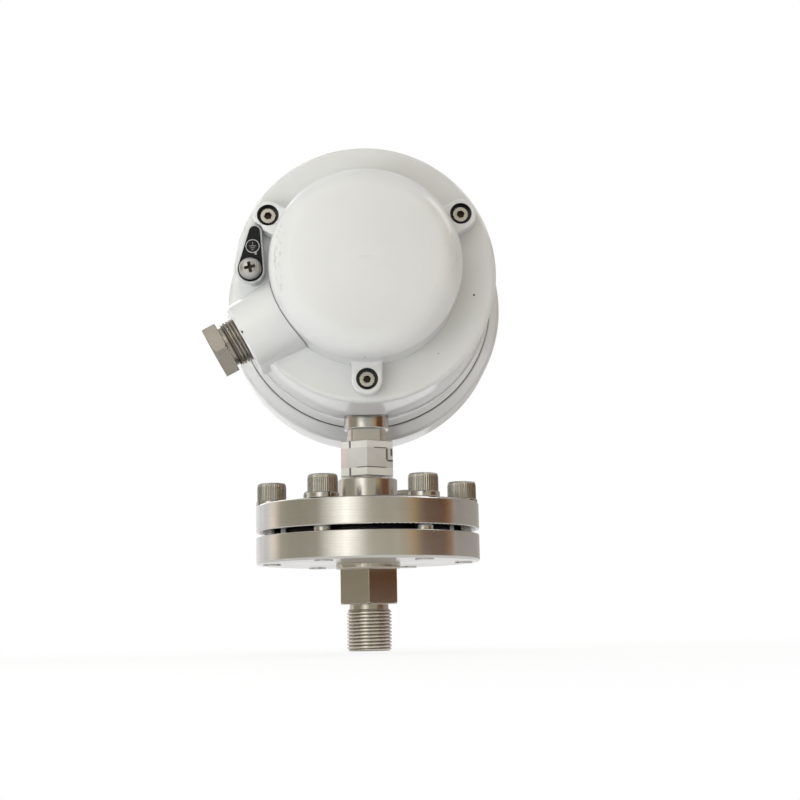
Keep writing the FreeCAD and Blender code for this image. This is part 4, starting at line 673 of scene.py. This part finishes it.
# Painted shade: the neck in front of the rim is black, as in the joint behind the bezel.
neck_shade = fitted(tree, y, CASE_NECK_SHADE_FROM_Y, CASE_NECK_SHADE_FULL_Y)
colour_by(tree, shader, blended(tree, neck_shade, coat, (0.02, 0.018, 0.015)))
dress(cad["case_body"], case_paint)


# Terminal chamber: a black moulded block with brass clamps and screws for the
# limit contacts, and a bushing that takes the inner leads to the movement.
CASE_AXIS_Z = 161.0 * MM
ALONG_CASE = ((0, 0, CASE_AXIS_Z), (-math.pi / 2, 0, 0))

black_plastic, tree, shader, where = new_finish("Black moulded plastic", roughness=0.42)
grain = noise(tree, where, 1400.0, 2.0)
cloud = noise(tree, where, 90.0, 3.0)
dust = place(tree, specks, where, Size=500.0, Share=0.03)["Speck"]
tone = mottled(tree, cloud, (0.014, 0.014, 0.015), (0.024, 0.024, 0.025))
colour_by(tree, shader, blended(tree, maths(tree, "MULTIPLY", dust, 0.25), tone, (0.3, 0.29, 0.27)))
dulled(tree, shader, cloud, 0.36, 0.5)
raise_up(tree, shader, grain, 0.15, 0.05 * MM)
for name in ("terminal_block", "feedthrough_bushing"):
    dress(cad[name], black_plastic)

brass = turned_metal("Brass", dark=(0.56, 0.40, 0.17), bright=(0.74, 0.56, 0.27),
                     finest=0.2, coarsest=0.34, rings=2.5, axis="Y", lay=ALONG_CASE)
case_screw_steel = turned_metal("Screw steel", dark=(0.52, 0.51, 0.49), bright=(0.72, 0.71, 0.69),
                                finest=0.16, coarsest=0.28, rings=2.5, axis="Y", lay=ALONG_CASE)
for name in ("terminal_clamps", "terminal_screws"):
    dress(cad[name], brass)
dress(cad["block_screws"], case_screw_steel)


# Terminal cover: a domed aluminium cup sprayed like the case, with three ears.
# Its rim is scuffed where it has been handled, and the counterbores round the
# three bright socket-head screws are black; a rubber ring seals its foot.
COVER_EARS = ((-41.31 * MM, 184.85 * MM), (41.31 * MM, 184.85 * MM), (0.0, 113.3 * MM))
COVER_EAR_Y = -53.4 * MM
COVER_BORE_R = 4.72 * MM
COVER_FOOT_Y = -45.4 * MM
COVER_SCREW_FACE_Y = -52.2 * MM
COVER_SOCKET_R = 1.9 * MM
COVER_MARK = (-0.9, -64.4, 120.4, 0.9)
COVER_RIM_R, COVER_RIM_HALF = 36.4 * MM, 1.7 * MM
COVER_RIM_FROM_Y, COVER_RIM_FULL_Y = -66.0 * MM, -68.0 * MM
# Scuffed stretches of the rim: where each begins and is full in X, its middle
# and half length in Z, and its share.
COVER_SCUFFS = (
    (-33.0 * MM, -35.0 * MM, 162.0 * MM, 16.0 * MM, 0.6),
    (34.0 * MM, 36.0 * MM, 166.0 * MM, 14.0 * MM, 0.2))


def axis_reach(tree, x, z, x0, z0):
    """The distance from a line along Y."""
    return reach_of(tree, maths(tree, "SUBTRACT", x, x0), maths(tree, "SUBTRACT", z, z0))


cover_paint, tree, shader, where, coat = sprayed_paint("Grey cover paint")
x, y, z = split(tree, where)
rim = near(tree, axis_reach(tree, x, z, 0.0, CASE_AXIS_Z), COVER_RIM_R, COVER_RIM_HALF)
scuff_at = add(tree, "ShaderNodeMapping")
scuff_at.inputs["Scale"].default_value = (2.0, 1.0, 0.5)
tree.links.new(where, scuff_at.inputs["Vector"])
scratches = fitted(tree, noise(tree, scuff_at.outputs[0], 420.0, 4.0, 0.6), 0.53, 0.66)
sides = [both(tree, fitted(tree, x, from_x, full_x, 0.0, share), near(tree, z, mid_z, half_z))
         for from_x, full_x, mid_z, half_z, share in COVER_SCUFFS]
scuffs = both(tree, rim, scratches, maths(tree, "ADD", *sides),
              fitted(tree, y, COVER_RIM_FROM_Y, COVER_RIM_FULL_Y))
coat = blended(tree, scuffs, coat, (0.20, 0.165, 0.125))
coat = blended(tree, spot(tree, where, *COVER_MARK), coat, (0.30, 0.28, 0.25))
# Cover foot: painted shade, a thin dark line where the cover meets the case.
foot_shade = fitted(tree, y, COVER_FOOT_Y - 0.45 * MM, COVER_FOOT_Y - 0.15 * MM, 0.0, 0.2)
coat = blended(tree, foot_shade, coat, (0.10, 0.095, 0.085))
bores = either(tree, *(maths(tree, "LESS_THAN", axis_reach(tree, x, z, *ear), COVER_BORE_R)
                       for ear in COVER_EARS))
bores = both(tree, bores, fitted(tree, y, COVER_EAR_Y + 0.3 * MM, COVER_EAR_Y + 0.5 * MM))
colour_by(tree, shader, blended(tree, bores, coat, (0.012, 0.012, 0.012)))
dress(cad["terminal_cover"], cover_paint)

cover_screw_steel = turned_metal("Cover screw steel", dark=(0.40, 0.385, 0.36), bright=(0.62, 0.60, 0.57),
                                 finest=0.2, coarsest=0.32, rings=2.5, axis="Y", lay=ALONG_CASE)
tree = cover_screw_steel.node_tree
x, y, z = coordinates(tree)
# Screw sockets: painted shade, dark inside the hex sockets of the three screws.
socket = either(tree, *(fitted(tree, axis_reach(tree, x, z, *ear), COVER_SOCKET_R, COVER_SOCKET_R - 0.1 * MM)
                        for ear in COVER_EARS))
socket = both(tree, socket, fitted(tree, y, COVER_SCREW_FACE_Y + 0.15 * MM, COVER_SCREW_FACE_Y + 0.5 * MM))
over(tree, socket, (0.035, 0.028, 0.02))
dress(cad["cover_screws"], cover_screw_steel)

dress(cad["cover_gasket"], rubber)


# Earth terminal: a black stamped plate on the pad, printed in white with the
# circled earth sign, under a cross-recessed pan-head screw.
EARTH_X, EARTH_Z = -48.9 * MM, 161.5 * MM
EARTH_PLATE_Y = -52.6 * MM
EARTH_HEAD_R = 4.8 * MM
EARTH_HEAD_H = 3.4 * MM
SIGN_X, SIGN_Z = -47.9 * MM, 171.4 * MM
SIGN_R = 3.0 * MM
SIGN_LINE = 0.36 * MM
SIGN_DROP, SIGN_DROP_AT = 1.7 * MM, 1.05 * MM
SIGN_BARS = ((3.0 * MM, 0.1 * MM), (2.0 * MM, -0.75 * MM), (1.0 * MM, -1.6 * MM))
PRINT_T = 0.04 * MM
PRINT_GAP = 0.01 * MM
EARTH_SMEAR = (-46.6, -52.6, 168.2, 1.0)
# The pan head's outline, as shares of its radius and height.
EARTH_HEAD_PROFILE = (
    (0, 0), (1, 0), (1, 0.22), (0.965, 0.45), (0.87, 0.68), (0.70, 0.86), (0.42, 0.97), (0, 1))
RECESS_ARM = (7.6 * MM, 1.5 * MM, 4.8 * MM)
RECESS_FOOT = (0.3, 0.8, 1)
RECESS_TURN = math.radians(12)

black_paint, tree, shader, where = new_finish("Black stoved paint", roughness=0.5, Specular_IOR_Level=0.12)
cloud = noise(tree, where, 160.0, 4.0)
dust = place(tree, specks, where, Size=700.0, Share=0.04)["Speck"]
tone = mottled(tree, cloud, (0.006, 0.006, 0.007), (0.011, 0.011, 0.012))
tone = blended(tree, maths(tree, "MULTIPLY", dust, 0.35), tone, (0.35, 0.34, 0.32))
smear = spot(tree, where, *EARTH_SMEAR)
colour_by(tree, shader, blended(tree, maths(tree, "MULTIPLY", smear, 0.5), tone, (0.5, 0.5, 0.48)))
dulled(tree, shader, cloud, 0.42, 0.56)
raise_up(tree, shader, cloud, 0.05, 0.05 * MM)
dress(cad["earth_plate"], black_paint)

print_white, tree, shader, where = new_finish("White print", roughness=0.5)
wear = noise(tree, where, 1200.0, 3.0)
x, y, z = split(tree, where)
inner = fitted(tree, axis_reach(tree, x, z, SIGN_X, SIGN_Z), SIGN_R - 0.4 * MM, SIGN_R - 0.6 * MM)
ink = blended(tree, inner, (0.40, 0.40, 0.39), (0.17, 0.17, 0.165))
colour_by(tree, shader, blended(tree, fitted(tree, wear, 0.45, 0.75), ink, (0.08, 0.08, 0.08)))


def printed_bar(name, length, width, centre):
    """A thin printed bar lying across Z, drawn as a plane and given its film."""
    put_down()
    bpy.ops.mesh.primitive_plane_add(size=1.0)
    bar = settled(bpy.context.object, Matrix.Translation(centre) @ Matrix.Diagonal((length, width, 1, 1)))
    bar.name = bar.data.name = name
    open_mesh(bar)
    bpy.ops.mesh.extrude_region_move(TRANSFORM_OT_translate={"value": (0, 0, PRINT_T)})
    tidy_mesh(bar)
    return bar


ring = turned("earth_sign", [
    (SIGN_R - SIGN_LINE, 0), (SIGN_R, 0), (SIGN_R, PRINT_T), (SIGN_R - SIGN_LINE, PRINT_T)], 48)
drop = printed_bar("sign_drop", SIGN_LINE, SIGN_DROP, (0, SIGN_DROP_AT, 0))
bars = [printed_bar("sign_bar", width, SIGN_LINE, (0, rise, 0)) for width, rise in SIGN_BARS]
sign = joined(ring, drop, *bars)
face_rear = Matrix.Rotation(math.pi / 2, 4, "X")
settled(sign, Matrix.Translation((SIGN_X, EARTH_PLATE_Y - PRINT_GAP, SIGN_Z)) @ face_rear)
dress(sign, print_white)
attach(sign, "gauge")

earth_steel = turned_metal("Earth screw steel", dark=(0.36, 0.35, 0.33), bright=(0.56, 0.545, 0.52),
                           finest=0.24, coarsest=0.38, rings=3.0,
                           axis=None, lay=((EARTH_X, 0, EARTH_Z), (-math.pi / 2, 0, 0)))
# Cross recess: painted shade, a dark material on the faces that the recess cuts.
recess_shade, tree, shader, where = new_finish("Recess shade", roughness=0.7)
recess_mottle = noise(tree, where, 2500.0, 3.0)
colour_by(tree, shader, blended(tree, recess_mottle, (0.025, 0.018, 0.012), (0.09, 0.07, 0.05)))

head = turned("earth_screw_crossed",
              [(r * EARTH_HEAD_R, z * EARTH_HEAD_H) for r, z in EARTH_HEAD_PROFILE], 64)
dress(head, earth_steel)
for turn in (0, math.pi / 2):
    bpy.ops.mesh.primitive_cube_add(size=1.0)
    arm = settled(bpy.context.object, Matrix.Translation((0, 0, EARTH_HEAD_H)) @
                  Matrix.Diagonal((*RECESS_ARM, 1)))
    open_mesh(arm)
    bpy.ops.mesh.select_all(action="DESELECT")
    bpy.ops.object.mode_set(mode="OBJECT")
    for vertex in arm.data.vertices:
        vertex.select = vertex.co.z < EARTH_HEAD_H
    bpy.ops.object.mode_set(mode="EDIT")
    bpy.ops.mesh.select_mode(type="VERT")
    bpy.ops.transform.resize(value=RECESS_FOOT, center_override=(0, 0, EARTH_HEAD_H))
    dress(arm, recess_shade)
    cut_with(head, settled(arm, Matrix.Rotation(turn + RECESS_TURN, 4, "Z")), "DIFFERENCE")
settled(head, Matrix.Translation((EARTH_X, EARTH_PLATE_Y, EARTH_Z)) @ face_rear)
shank = copy_of("earth_screw", "earth_shank")
cut_off(shank, (0, EARTH_PLATE_Y + SEAM, 0), (0, -1, 0))
dress(shank, earth_steel)
earth_screw = joined(head, shank)
smooth(earth_screw, 30)
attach(earth_screw, "gauge")
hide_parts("earth_screw")


# Cable adapter: nickel-plated brass with a spanner hexagon, a relief and an
# M20 x 1.5 thread that is screwed part of the way into the boss of the case.
ADAPTER_TURN = math.radians(208.5)
ADAPTER_AXIS = Vector((math.cos(ADAPTER_TURN), 0, math.sin(ADAPTER_TURN)))
ADAPTER_FROM = Vector((0, -46.8 * MM, CASE_AXIS_Z))
ADAPTER_IN = 47.0 * MM
ADAPTER_THREAD_END = 65.8 * MM
ADAPTER_THREAD_R = 10.0 * MM
ADAPTER_PITCH = 1.5 * MM
ADAPTER_PASS_R = 6.5 * MM

adapter_turn = Vector((0, 0, 1)).rotation_difference(ADAPTER_AXIS)
adapter_thread = screw_thread("cable_adapter_threaded", ADAPTER_THREAD_R, ADAPTER_PITCH, ADAPTER_IN,
                              ADAPTER_THREAD_END, ADAPTER_PASS_R)
settled(adapter_thread, Matrix.Translation(ADAPTER_FROM) @ adapter_turn.to_matrix().to_4x4())
adapter_hexagon = copy_of("cable_adapter", "adapter_hexagon")
cut_off(adapter_hexagon, ADAPTER_FROM + (ADAPTER_THREAD_END + SEAM) * ADAPTER_AXIS, -ADAPTER_AXIS)
adapter = joined(adapter_thread, adapter_hexagon)
smooth(adapter)
nickel_brass = turned_metal("Nickelled brass", dark=(0.24, 0.215, 0.185), bright=(0.35, 0.32, 0.28),
                            finest=0.22, coarsest=0.34, rings=2.5,
                            axis=None, lay=(ADAPTER_FROM, adapter_turn.to_euler()))
dress(adapter, nickel_brass)
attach(adapter, "gauge")
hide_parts("cable_adapter")


# Bourdon tube and link: a flattened bronze tube brazed into the stem's block
# and into a brass tip; a steel link hangs from the tip and pulls the sector.
bronze, tree, shader, where = new_finish("Drawn bronze", metallic=1.0, roughness=0.3)
cloud = noise(tree, where, 110.0, 5.0)
bloom = noise(tree, where, 420.0, 3.0)
tone = mottled(tree, cloud, (0.44, 0.25, 0.12), (0.62, 0.40, 0.21))
colour_by(tree, shader, blended(tree, fitted(tree, bloom, 0.55, 0.75, 0.0, 0.5), tone, (0.30, 0.17, 0.10)))
dulled(tree, shader, cloud, 0.26, 0.4)
raise_up(tree, shader, bloom, 0.08, 0.03 * MM)
tube = copy_of("bourdon_tube", "bourdon_tube_bent")
smooth(tube)
dress(tube, bronze)
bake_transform(tube)
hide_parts("bourdon_tube")
dress(cad["tube_tip"], brass)
dress(cad["link_rod"], case_screw_steel)


# Movement: two brass plates on pillars carry the toothed sector and the steel
# pinion arbor; a flat bronze hairspring takes up the play of the teeth.
for name in ("movement_back_plate", "movement_front_plate", "movement_pillars", "sector_gear"):
    dress(cad[name], brass)
for name in ("plate_screws", "movement_screws", "pinion_arbor"):
    dress(cad[name], case_screw_steel)
dress(cad["hairspring"], bronze)


# Dial: a white enamelled plate held by two screws, printed in black with a
# plain scale of ten numbered parts over three quarters of a turn.
DIAL_FACE_Y = 22.0 * MM
SCALE_R = 41.5 * MM
NUMERAL_R = 32.5 * MM
NUMERAL_H = 6.0 * MM
SCALE_START, SCALE_SWEEP = -45.0, 270.0
SCALE_PARTS = 50
PARTS_A_NUMBER = 5
LONG_TICK = (4.0 * MM, 0.9 * MM)
SHORT_TICK = (2.2 * MM, 0.4 * MM)

dial_white, tree, shader, where = new_finish("White enamel", roughness=0.36)
cloud = noise(tree, where, 60.0, 4.0)
dust = place(tree, specks, where, Size=420.0, Share=0.01)["Speck"]
tone = mottled(tree, cloud, (0.76, 0.76, 0.74), (0.80, 0.80, 0.785))
colour_by(tree, shader, blended(tree, maths(tree, "MULTIPLY", dust, 0.3), tone, (0.35, 0.33, 0.30)))
dulled(tree, shader, cloud, 0.32, 0.42)
dress(cad["dial_plate"], dial_white)
dress(cad["dial_screws"], case_screw_steel)

matt_black, tree, shader, where = new_finish("Matt black paint", roughness=0.5)
cloud = noise(tree, where, 300.0, 4.0)
colour_by(tree, shader, blended(tree, cloud, (0.010, 0.010, 0.010), (0.026, 0.026, 0.026)))
dulled(tree, shader, cloud, 0.42, 0.56)

# Takes print that lies flat about the origin to the dial, facing +Y.
on_dial = Matrix(((-1, 0, 0, 0), (0, 0, 1, DIAL_FACE_Y + PRINT_GAP), (0, 1, 0, CASE_AXIS_Z), (0, 0, 0, 1)))


def scale_turn(part):
    """The angle of a part of the scale, as the dial is seen."""
    return math.radians(180 - SCALE_START - SCALE_SWEEP * part / SCALE_PARTS)


marks = []
for part in range(SCALE_PARTS + 1):
    turn = scale_turn(part)
    length, width = SHORT_TICK if part % PARTS_A_NUMBER else LONG_TICK
    tick = printed_bar("dial_print", length, width, (SCALE_R - length / 2, 0, 0))
    marks.append(settled(tick, on_dial @ Matrix.Rotation(turn, 4, "Z")))
for number in range(SCALE_PARTS // PARTS_A_NUMBER + 1):
    turn = scale_turn(number * PARTS_A_NUMBER)
    put_down()
    bpy.ops.object.text_add()
    numeral = bpy.context.object
    numeral.data.body = str(number)
    numeral.data.align_x = numeral.data.align_y = "CENTER"
    numeral.data.size = NUMERAL_H
    numeral.data.extrude = PRINT_T / 2
    bpy.ops.object.convert(target="MESH")
    at = Matrix.Translation((NUMERAL_R * math.cos(turn), NUMERAL_R * math.sin(turn), PRINT_T / 2))
    marks.append(settled(numeral, on_dial @ at))
dial_print = joined(marks[0], *marks[1:])
dial_print.name = dial_print.data.name = "dial_print"
dress(dial_print, matt_black)
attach(dial_print, "gauge")


# Pointer: a thin black blade with a counterweight tail, on the pinion arbor.
# It is pressed from sheet and its hub is a tight push fit.
dress(cad["pointer"], matt_black)


# Limit contacts: a black bridge across the dial carries the green low hand
# and the red high hand, held by a steel clip; two screws hold the bridge.
dress(cad["contact_bridge"], black_plastic)


def hand_paint(name, deep, light):
    """Glossy paint of a limit hand, a little uneven."""
    material, tree, shader, where = new_finish(name, roughness=0.35)
    cloud = noise(tree, where, 240.0, 4.0)
    colour_by(tree, shader, mottled(tree, cloud, deep, light))
    dulled(tree, shader, cloud, 0.3, 0.42)
    return material


dress(cad["low_limit_hand"], hand_paint("Green hand paint", (0.015, 0.21, 0.05), (0.03, 0.30, 0.08)))
dress(cad["high_limit_hand"], hand_paint("Red hand paint", (0.42, 0.02, 0.015), (0.55, 0.04, 0.03)))
for name in ("bridge_screws", "hand_clip"):
    dress(cad[name], case_screw_steel)


glass, tree, shader, where = new_finish("Window glass", roughness=0.02, Transmission_Weight=1.0, IOR=1.5)
shader.inputs["Base Color"].default_value = (0.97, 0.99, 0.98, 1)
smudge = noise(tree, where, 45.0, 5.0, 0.65)
tree.links.new(fitted(tree, smudge, 0.5, 0.75, 0.01, 0.06), shader.inputs["Roughness"])
path = add(tree, "ShaderNodeLightPath")
through = add(tree, "ShaderNodeMixShader")
tree.links.new(either(tree, path.outputs["Is Shadow Ray"], path.outputs["Is Diffuse Ray"]), through.inputs[0])
tree.links.new(shader.outputs[0], through.inputs[1])
tree.links.new(add(tree, "ShaderNodeBsdfTransparent").outputs[0], through.inputs[2])
tree.links.new(through.outputs[0], tree.nodes["Material Output"].inputs["Surface"])
dress(cad["window_glass"], glass)
dress(cad["window_gasket"], rubber)
lock_nickel = turned_metal("Lock nickel", dark=(0.56, 0.53, 0.47), bright=(0.74, 0.71, 0.65),
                           finest=0.16, coarsest=0.3, rings=3.0, axis="Y", lay=ALONG_CASE)
for name in ("setting_bush", "setting_nut", "setting_plunger"):
    dress(cad[name], lock_nickel)
dress(cad["setting_spindle"], case_screw_steel)

coil = copy_of("setting_spring", "setting_spring_coiled")
smooth(coil)
dress(coil, case_screw_steel)
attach(coil, "gauge")
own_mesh(coil)
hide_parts("setting_spring")


# Bezel ring: a turned aluminium ring sprayed like the case, pushed over the
# body's neck; it holds the glass, and the narrow joint behind it is painted dark as shade.
BEZEL_BACK_Y = 14.9 * MM
BEZEL_JOINT_R = 59.4 * MM
BEZEL_JOINT_HALF = 0.25 * MM
BEZEL_JOINT_FADE = 0.1 * MM

bezel_paint, tree, shader, where, coat = sprayed_paint("Grey bezel paint")
edge = place(tree, rubbed, where, Radius=0.6 * MM, Break_up=260.0)["Edge"]
coat = blended(tree, maths(tree, "MULTIPLY", edge, 0.12), coat, (0.42, 0.40, 0.37))
x, y, z = split(tree, where)
inside_joint = fitted(tree, axis_reach(tree, x, z, 0.0, CASE_AXIS_Z),
                      BEZEL_JOINT_R + BEZEL_JOINT_FADE, BEZEL_JOINT_R - BEZEL_JOINT_FADE)
# Painted shade: the joint behind the bezel is darkened.
joint_shade = both(tree, near(tree, y, BEZEL_BACK_Y, BEZEL_JOINT_HALF), inside_joint)
colour_by(tree, shader, blended(tree, joint_shade, coat, (0.02, 0.018, 0.015)))
dress(cad["bezel_ring"], bezel_paint)


# Studio: a pale floor on a white ground, under a domed room that only light and
# reflections see: warm dim walls in front, a bright window left of the camera,
# white and dusk behind; four soft lamps fill in, and the camera stands as fitted.
FLOOR_SIZE = 8.0
FLOOR_DROP = 1.0 * MM
FLOOR_GLOW = 1.0
FLOOR_SHADE_R, FLOOR_CLEAR_R = 0.05, 0.5
FLOOR_SHADE_SHARE = 0.86
ROOM_R = 3.0
ROOM_FOOT_Z = -0.01
ROOM_SKY = (0.85, 0.85, 0.85)
ROOM_SKY_FROM, ROOM_SKY_FULL = 0.5, 0.9
ROOM_CLUTTER = 9.0

put_down()
bpy.ops.mesh.primitive_plane_add(size=FLOOR_SIZE, location=(0, 0, -FLOOR_DROP))
floor = bpy.context.object
floor.name = "floor"
floor_white, tree, shader, where = new_finish("Floor white", roughness=0.9)
shader.inputs["Base Color"].default_value = (0.9, 0.9, 0.9, 1)
x, y, z = split(tree, where)
away = reach_of(tree, x, y)
path = add(tree, "ShaderNodeLightPath")
seen = either(tree, *(path.outputs["Is %s Ray" % kind] for kind in ("Camera", "Glossy", "Transmission")))
glow = add(tree, "ShaderNodeEmission")
glow.inputs["Strength"].default_value = FLOOR_GLOW
mix = add(tree, "ShaderNodeMixShader")
clear = fitted(tree, away, FLOOR_SHADE_R, FLOOR_CLEAR_R, FLOOR_SHADE_SHARE, 1.0)
tree.links.new(maths(tree, "MULTIPLY", seen, clear), mix.inputs[0])
tree.links.new(shader.outputs[0], mix.inputs[1])
tree.links.new(glow.outputs[0], mix.inputs[2])
tree.links.new(mix.outputs[0], tree.nodes["Material Output"].inputs["Surface"])
dress(floor, floor_white)

world = bpy.data.worlds.new("studio")
bpy.context.scene.world = world
world.use_nodes = True
world.node_tree.nodes["Background"].inputs["Color"].default_value = (1, 1, 1, 1)

put_down()
bpy.ops.mesh.primitive_uv_sphere_add(segments=64, ring_count=32, radius=ROOM_R)
room = bpy.context.object
room.name = "room"
open_mesh(room)
bpy.ops.mesh.bisect(plane_co=(0, 0, ROOM_FOOT_Z), plane_no=(0, 0, 1), clear_inner=True)
put_down()
room.visible_camera = room.visible_transmission = False
room_walls, tree, shader, where = new_finish("Room walls")
outward = add(tree, "ShaderNodeVectorMath", operation="NORMALIZE")
tree.links.new(where, outward.inputs[0])
east, north, height = split(tree, outward.outputs[0])
bearing = maths(tree, "ARCTAN2", east, maths(tree, "MULTIPLY", north, -1.0))
ramp = add(tree, "ShaderNodeValToRGB")
tree.links.new(fitted(tree, bearing, -math.pi, math.pi), ramp.inputs[0])
white, warm_grey, window = (1.0, 1.0, 1.0), (0.57, 0.53, 0.41), (2.3, 2.26, 2.12)
tan, brown, dusk = (0.60, 0.40, 0.17), (0.15, 0.05, 0.0), (0.50, 0.46, 0.42)
peach, shade, orange = (1.4, 1.22, 1.08), (0.42, 0.39, 0.29), (0.42, 0.19, 0.05)
# The walls by their bearing in degrees, from the camera's side towards its right hand.
walls = (
    (-180, white), (-120, white), (-112, peach), (-100, warm_grey), (-84, shade), (-52, shade),
    (-22, window), (2, warm_grey), (34, warm_grey), (44, tan), (58, brown), (84, brown),
    (92, orange), (98, dusk), (180, dusk))
ramp.color_ramp.elements.remove(ramp.color_ramp.elements[1])
for i, (angle, colour) in enumerate(walls):
    stop = (angle + 180) / 360
    element = ramp.color_ramp.elements.new(stop) if i else ramp.color_ramp.elements[0]
    element.position = stop
    element.color = (*colour, 1)
clutter = add(tree, "ShaderNodeTexNoise", noise_dimensions="1D")
clutter.inputs["Scale"].default_value = ROOM_CLUTTER
tree.links.new(bearing, clutter.inputs["W"])
dappled = add(tree, "ShaderNodeVectorMath", operation="SCALE")
tree.links.new(ramp.outputs[0], dappled.inputs[0])
uneven = fitted(tree, clutter.outputs["Fac"], NOISE_LOW, NOISE_HIGH, 0.85, 1.15)
tree.links.new(uneven, dappled.inputs["Scale"])
sky = blended(tree, fitted(tree, height, ROOM_SKY_FROM, ROOM_SKY_FULL), dappled.outputs[0], ROOM_SKY)
glow = add(tree, "ShaderNodeEmission")
tree.links.new(sky, glow.inputs["Color"])
tree.links.new(glow.outputs[0], tree.nodes["Material Output"].inputs["Surface"])
dress(room, room_walls)


def soft_lamp(name, stand, target, size, watts, spread):
    """A square lamp that stands at a place and faces a target; spread is in degrees."""
    data = bpy.data.lights.new(name, "AREA")
    data.shape = "SQUARE"
    data.size = size
    data.energy = watts
    data.spread = math.radians(spread)
    lamp = bpy.data.objects.new(name, data)
    bpy.context.scene.collection.objects.link(lamp)
    facing = (Vector(target) - Vector(stand)).to_track_quat("-Z", "Y")
    lamp.matrix_world = Matrix.Translation(stand) @ facing.to_matrix().to_4x4()


soft_lamp("left_soft_lamp", stand=(-0.75, -0.35, 0.75), target=(-0.1, -0.1, 0.08),
          size=0.7, watts=0.5, spread=180)
soft_lamp("right_soft_lamp", stand=(0.5, -0.05, 0.6), target=(0.03, -0.03, 0.16),
          size=0.3, watts=0.6, spread=180)
soft_lamp("dial_soft_lamp", stand=(-0.25, 0.9, 0.6), target=(0.0, 0.05, 0.16),
          size=0.5, watts=2.0, spread=180)
soft_lamp("floor_lamp", stand=(-0.45, -0.55, 0.5), target=(-0.45, -0.55, 0.0),
          size=0.4, watts=12.0, spread=60)

CAMERA_AT = Vector((-7.7, -640.0, 7.9)) * MM
PITCH, YAW, ROLL = (math.radians(a) for a in (9.3, 2.085, -1.09))
FOCUS_PX = 1418.8
PHOTO_PX = 800
SENSOR_W = 36.0
ahead = Vector((math.sin(YAW) * math.cos(PITCH), math.cos(YAW) * math.cos(PITCH), math.sin(PITCH)))
right = Vector((math.cos(YAW), -math.sin(YAW), 0))
up = right.cross(ahead)
right, up = right * math.cos(ROLL) + up * math.sin(ROLL), up * math.cos(ROLL) - right * math.sin(ROLL)
camera_data = bpy.data.cameras.new("camera")
camera_data.sensor_width = SENSOR_W
camera_data.lens = FOCUS_PX / PHOTO_PX * SENSOR_W
camera_data.clip_start = 0.01
camera = bpy.data.objects.new("camera", camera_data)
bpy.context.scene.collection.objects.link(camera)
camera.matrix_world = Matrix((right, up, -ahead)).transposed().to_4x4()
camera.location = CAMERA_AT
bpy.context.scene.camera = camera
bpy.context.scene.view_settings.view_transform = "Standard"
